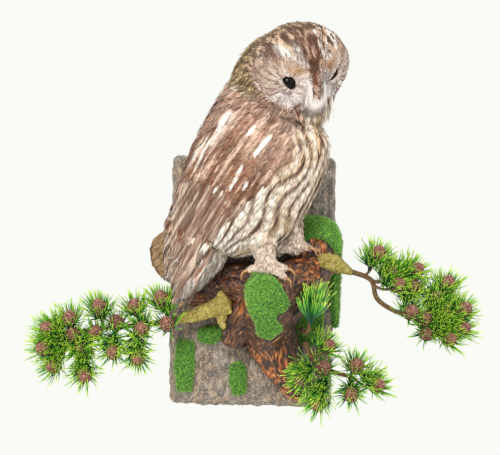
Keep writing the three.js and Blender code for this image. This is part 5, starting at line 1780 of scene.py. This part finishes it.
def needle_material():
    """Moulded polythene needles: dark green at the root, sprayed yellow green at the tip, half gloss."""
    material, tree, surface = begin_material("needle_polythene_green", 0.42)
    along = add(tree, "ShaderNodeAttribute", attribute_name="Along").outputs["Fac"]
    place = add(tree, "ShaderNodeTexCoord").outputs["Object"]
    patches = add(tree, "ShaderNodeTexNoise", {"Vector": place}, in_Scale=per_mm(12), in_Detail=2.0)
    spread = add(tree, "ShaderNodeMath", {0: patches.outputs["Fac"]}, in_1=-0.5, operation="ADD")
    varied = add(tree, "ShaderNodeMath", {0: spread.outputs[0], 2: along}, in_1=0.7, operation="MULTIPLY_ADD")
    ramp = colour_ramp(tree, varied.outputs[0], [
        (0.12, "#0f3627"), (0.46, "#1c6633"), (0.74, "#58a82f"), (1.0, "#c8e452")])
    tree.links.new(ramp, surface.inputs["Base Color"])
    streaks = add(tree, "ShaderNodeTexNoise", {"Vector": place}, in_Scale=per_mm(0.8))
    add_bump(tree, surface, streaks.outputs["Fac"], 0.1, 0.3)
    return material


def cone_material():
    """Pressed wood-flour cones: dull reddish brown, in paler and darker flecks."""
    material, tree, surface = begin_material("pine_cone_red_brown", 0.7)
    place = add(tree, "ShaderNodeTexCoord").outputs["Object"]
    tone = add(tree, "ShaderNodeTexNoise", {"Vector": place}, in_Scale=per_mm(2.6), in_Detail=4.0)
    ramp = colour_ramp(tree, tone.outputs["Fac"], [(0.3, "#4f3128"), (0.5, "#86594a"), (0.7, "#b98f80")])
    tree.links.new(ramp, surface.inputs["Base Color"])
    add_bump(tree, surface, tone.outputs["Fac"], 0.3, 0.6)
    return material


def twig_material():
    """Paper-wrapped wire: brown and matt, finely flecked."""
    material, tree, surface = begin_material("twig_paper_brown", 0.85)
    place = add(tree, "ShaderNodeTexCoord").outputs["Object"]
    fleck = add(tree, "ShaderNodeTexNoise", {"Vector": place}, in_Scale=per_mm(2.2), in_Detail=5.0)
    ramp = colour_ramp(tree, fleck.outputs["Fac"], [(0.3, "#43301f"), (0.55, "#6f5535"), (0.75, "#93784e")])
    tree.links.new(ramp, surface.inputs["Base Color"])
    add_bump(tree, surface, fleck.outputs["Fac"], 0.4, 0.7)
    return material


def build_pine():
    """Three boughs of needle tufts round small cones, and the one tuft without a cone."""
    needles, cones = needle_tree(), cone_tree()
    green, brown, paper = needle_material(), cone_material(), twig_material()
    for name, bough in BOUGHS.items():
        found = sprays(bough)
        stem = through(bough["stem"], 24)
        rods = [rod(outof(LEAN, stem[:, :3]), stem[:, 3] * MM)]
        for near, base, facing in found:
            bend = (near + base) / 2 + np.array([0, 4, -3])
            path = through([near, bend, base, base + facing * 6], 9)
            rods.append(rod(outof(LEAN, path), np.linspace(2.2, 1.5, len(path)) * MM, 6))
        twigs = joined_rods(f"pine_{name}_stems", rods)
        twigs.data.materials.append(paper)
        hand_over(twigs, "pine_twig", f"pine_{name}_twig")
        bases = outof(LEAN, [base for _, base, _ in found])
        facings = turned(LEAN, np.array([facing for _, _, facing in found]))
        whorls = [bases - facings * 6 * MM]
        ways = [facings]
        reach = np.linalg.norm([base - near for near, base, _ in found], axis=1)
        for step in range(1, int(reach.max() / TUFT_STEP)):
            far = reach > step * TUFT_STEP + 6
            roots = outof(LEAN, [near for near, _, _ in found])
            back = (roots - bases) / reach[:, None]
            whorls.append((bases + back * step * TUFT_STEP)[far])
            ways.append(facings[far])
        tufts = points_with_facing(f"pine_{name}_needles", np.concatenate(whorls), np.concatenate(ways))
        grown(tufts, needles, {"Material": green})
        hand_over(tufts, "pine_needles", f"pine_{name}_tufts")
        buds = points_with_facing(f"pine_{name}_cones", bases + facings * 1 * MM, facings)
        smooth_shaded(grown(buds, cones, {"Material": brown}))
        hand_over(buds, "pine_cones")
    build_lone_tuft(needles, green, paper)


def build_lone_tuft(needles, green, paper):
    stem = through(LONE_TUFT_STEM, 12)
    twig = joined_rods("lone_tuft_stem", [rod(outof(LEAN, stem[:, :3]), stem[:, 3] * MM)])
    twig.data.materials.append(paper)
    hand_over(twig, "pine_twig", "pine_tuft_twig")
    roots = [stem[-1, :3] + np.array([0, 0, 4 * k]) for k in range(-4, 3)]
    facings = [unit(np.array([0.12 * math.sin(k * 2.1), -0.12, 1])) for k in range(7)]
    tuft = points_with_facing("lone_tuft_needles", outof(LEAN, roots), turned(LEAN, np.array(facings)))
    grown(tuft, needles, {"Material": green, "Needles": 36, "Widest": 1.15, "Narrowest": 0.15,
                          "Needle length": 33 * MM})
    hand_over(tuft, "pine_needles", "pine_tuft_needles")


make_camera()
make_studio()
make_floor()
dress_owl()
build_eyes()
build_horn()
build_plaque()
build_driftwood()
build_lichen_stubs()
build_moss()
build_pine()
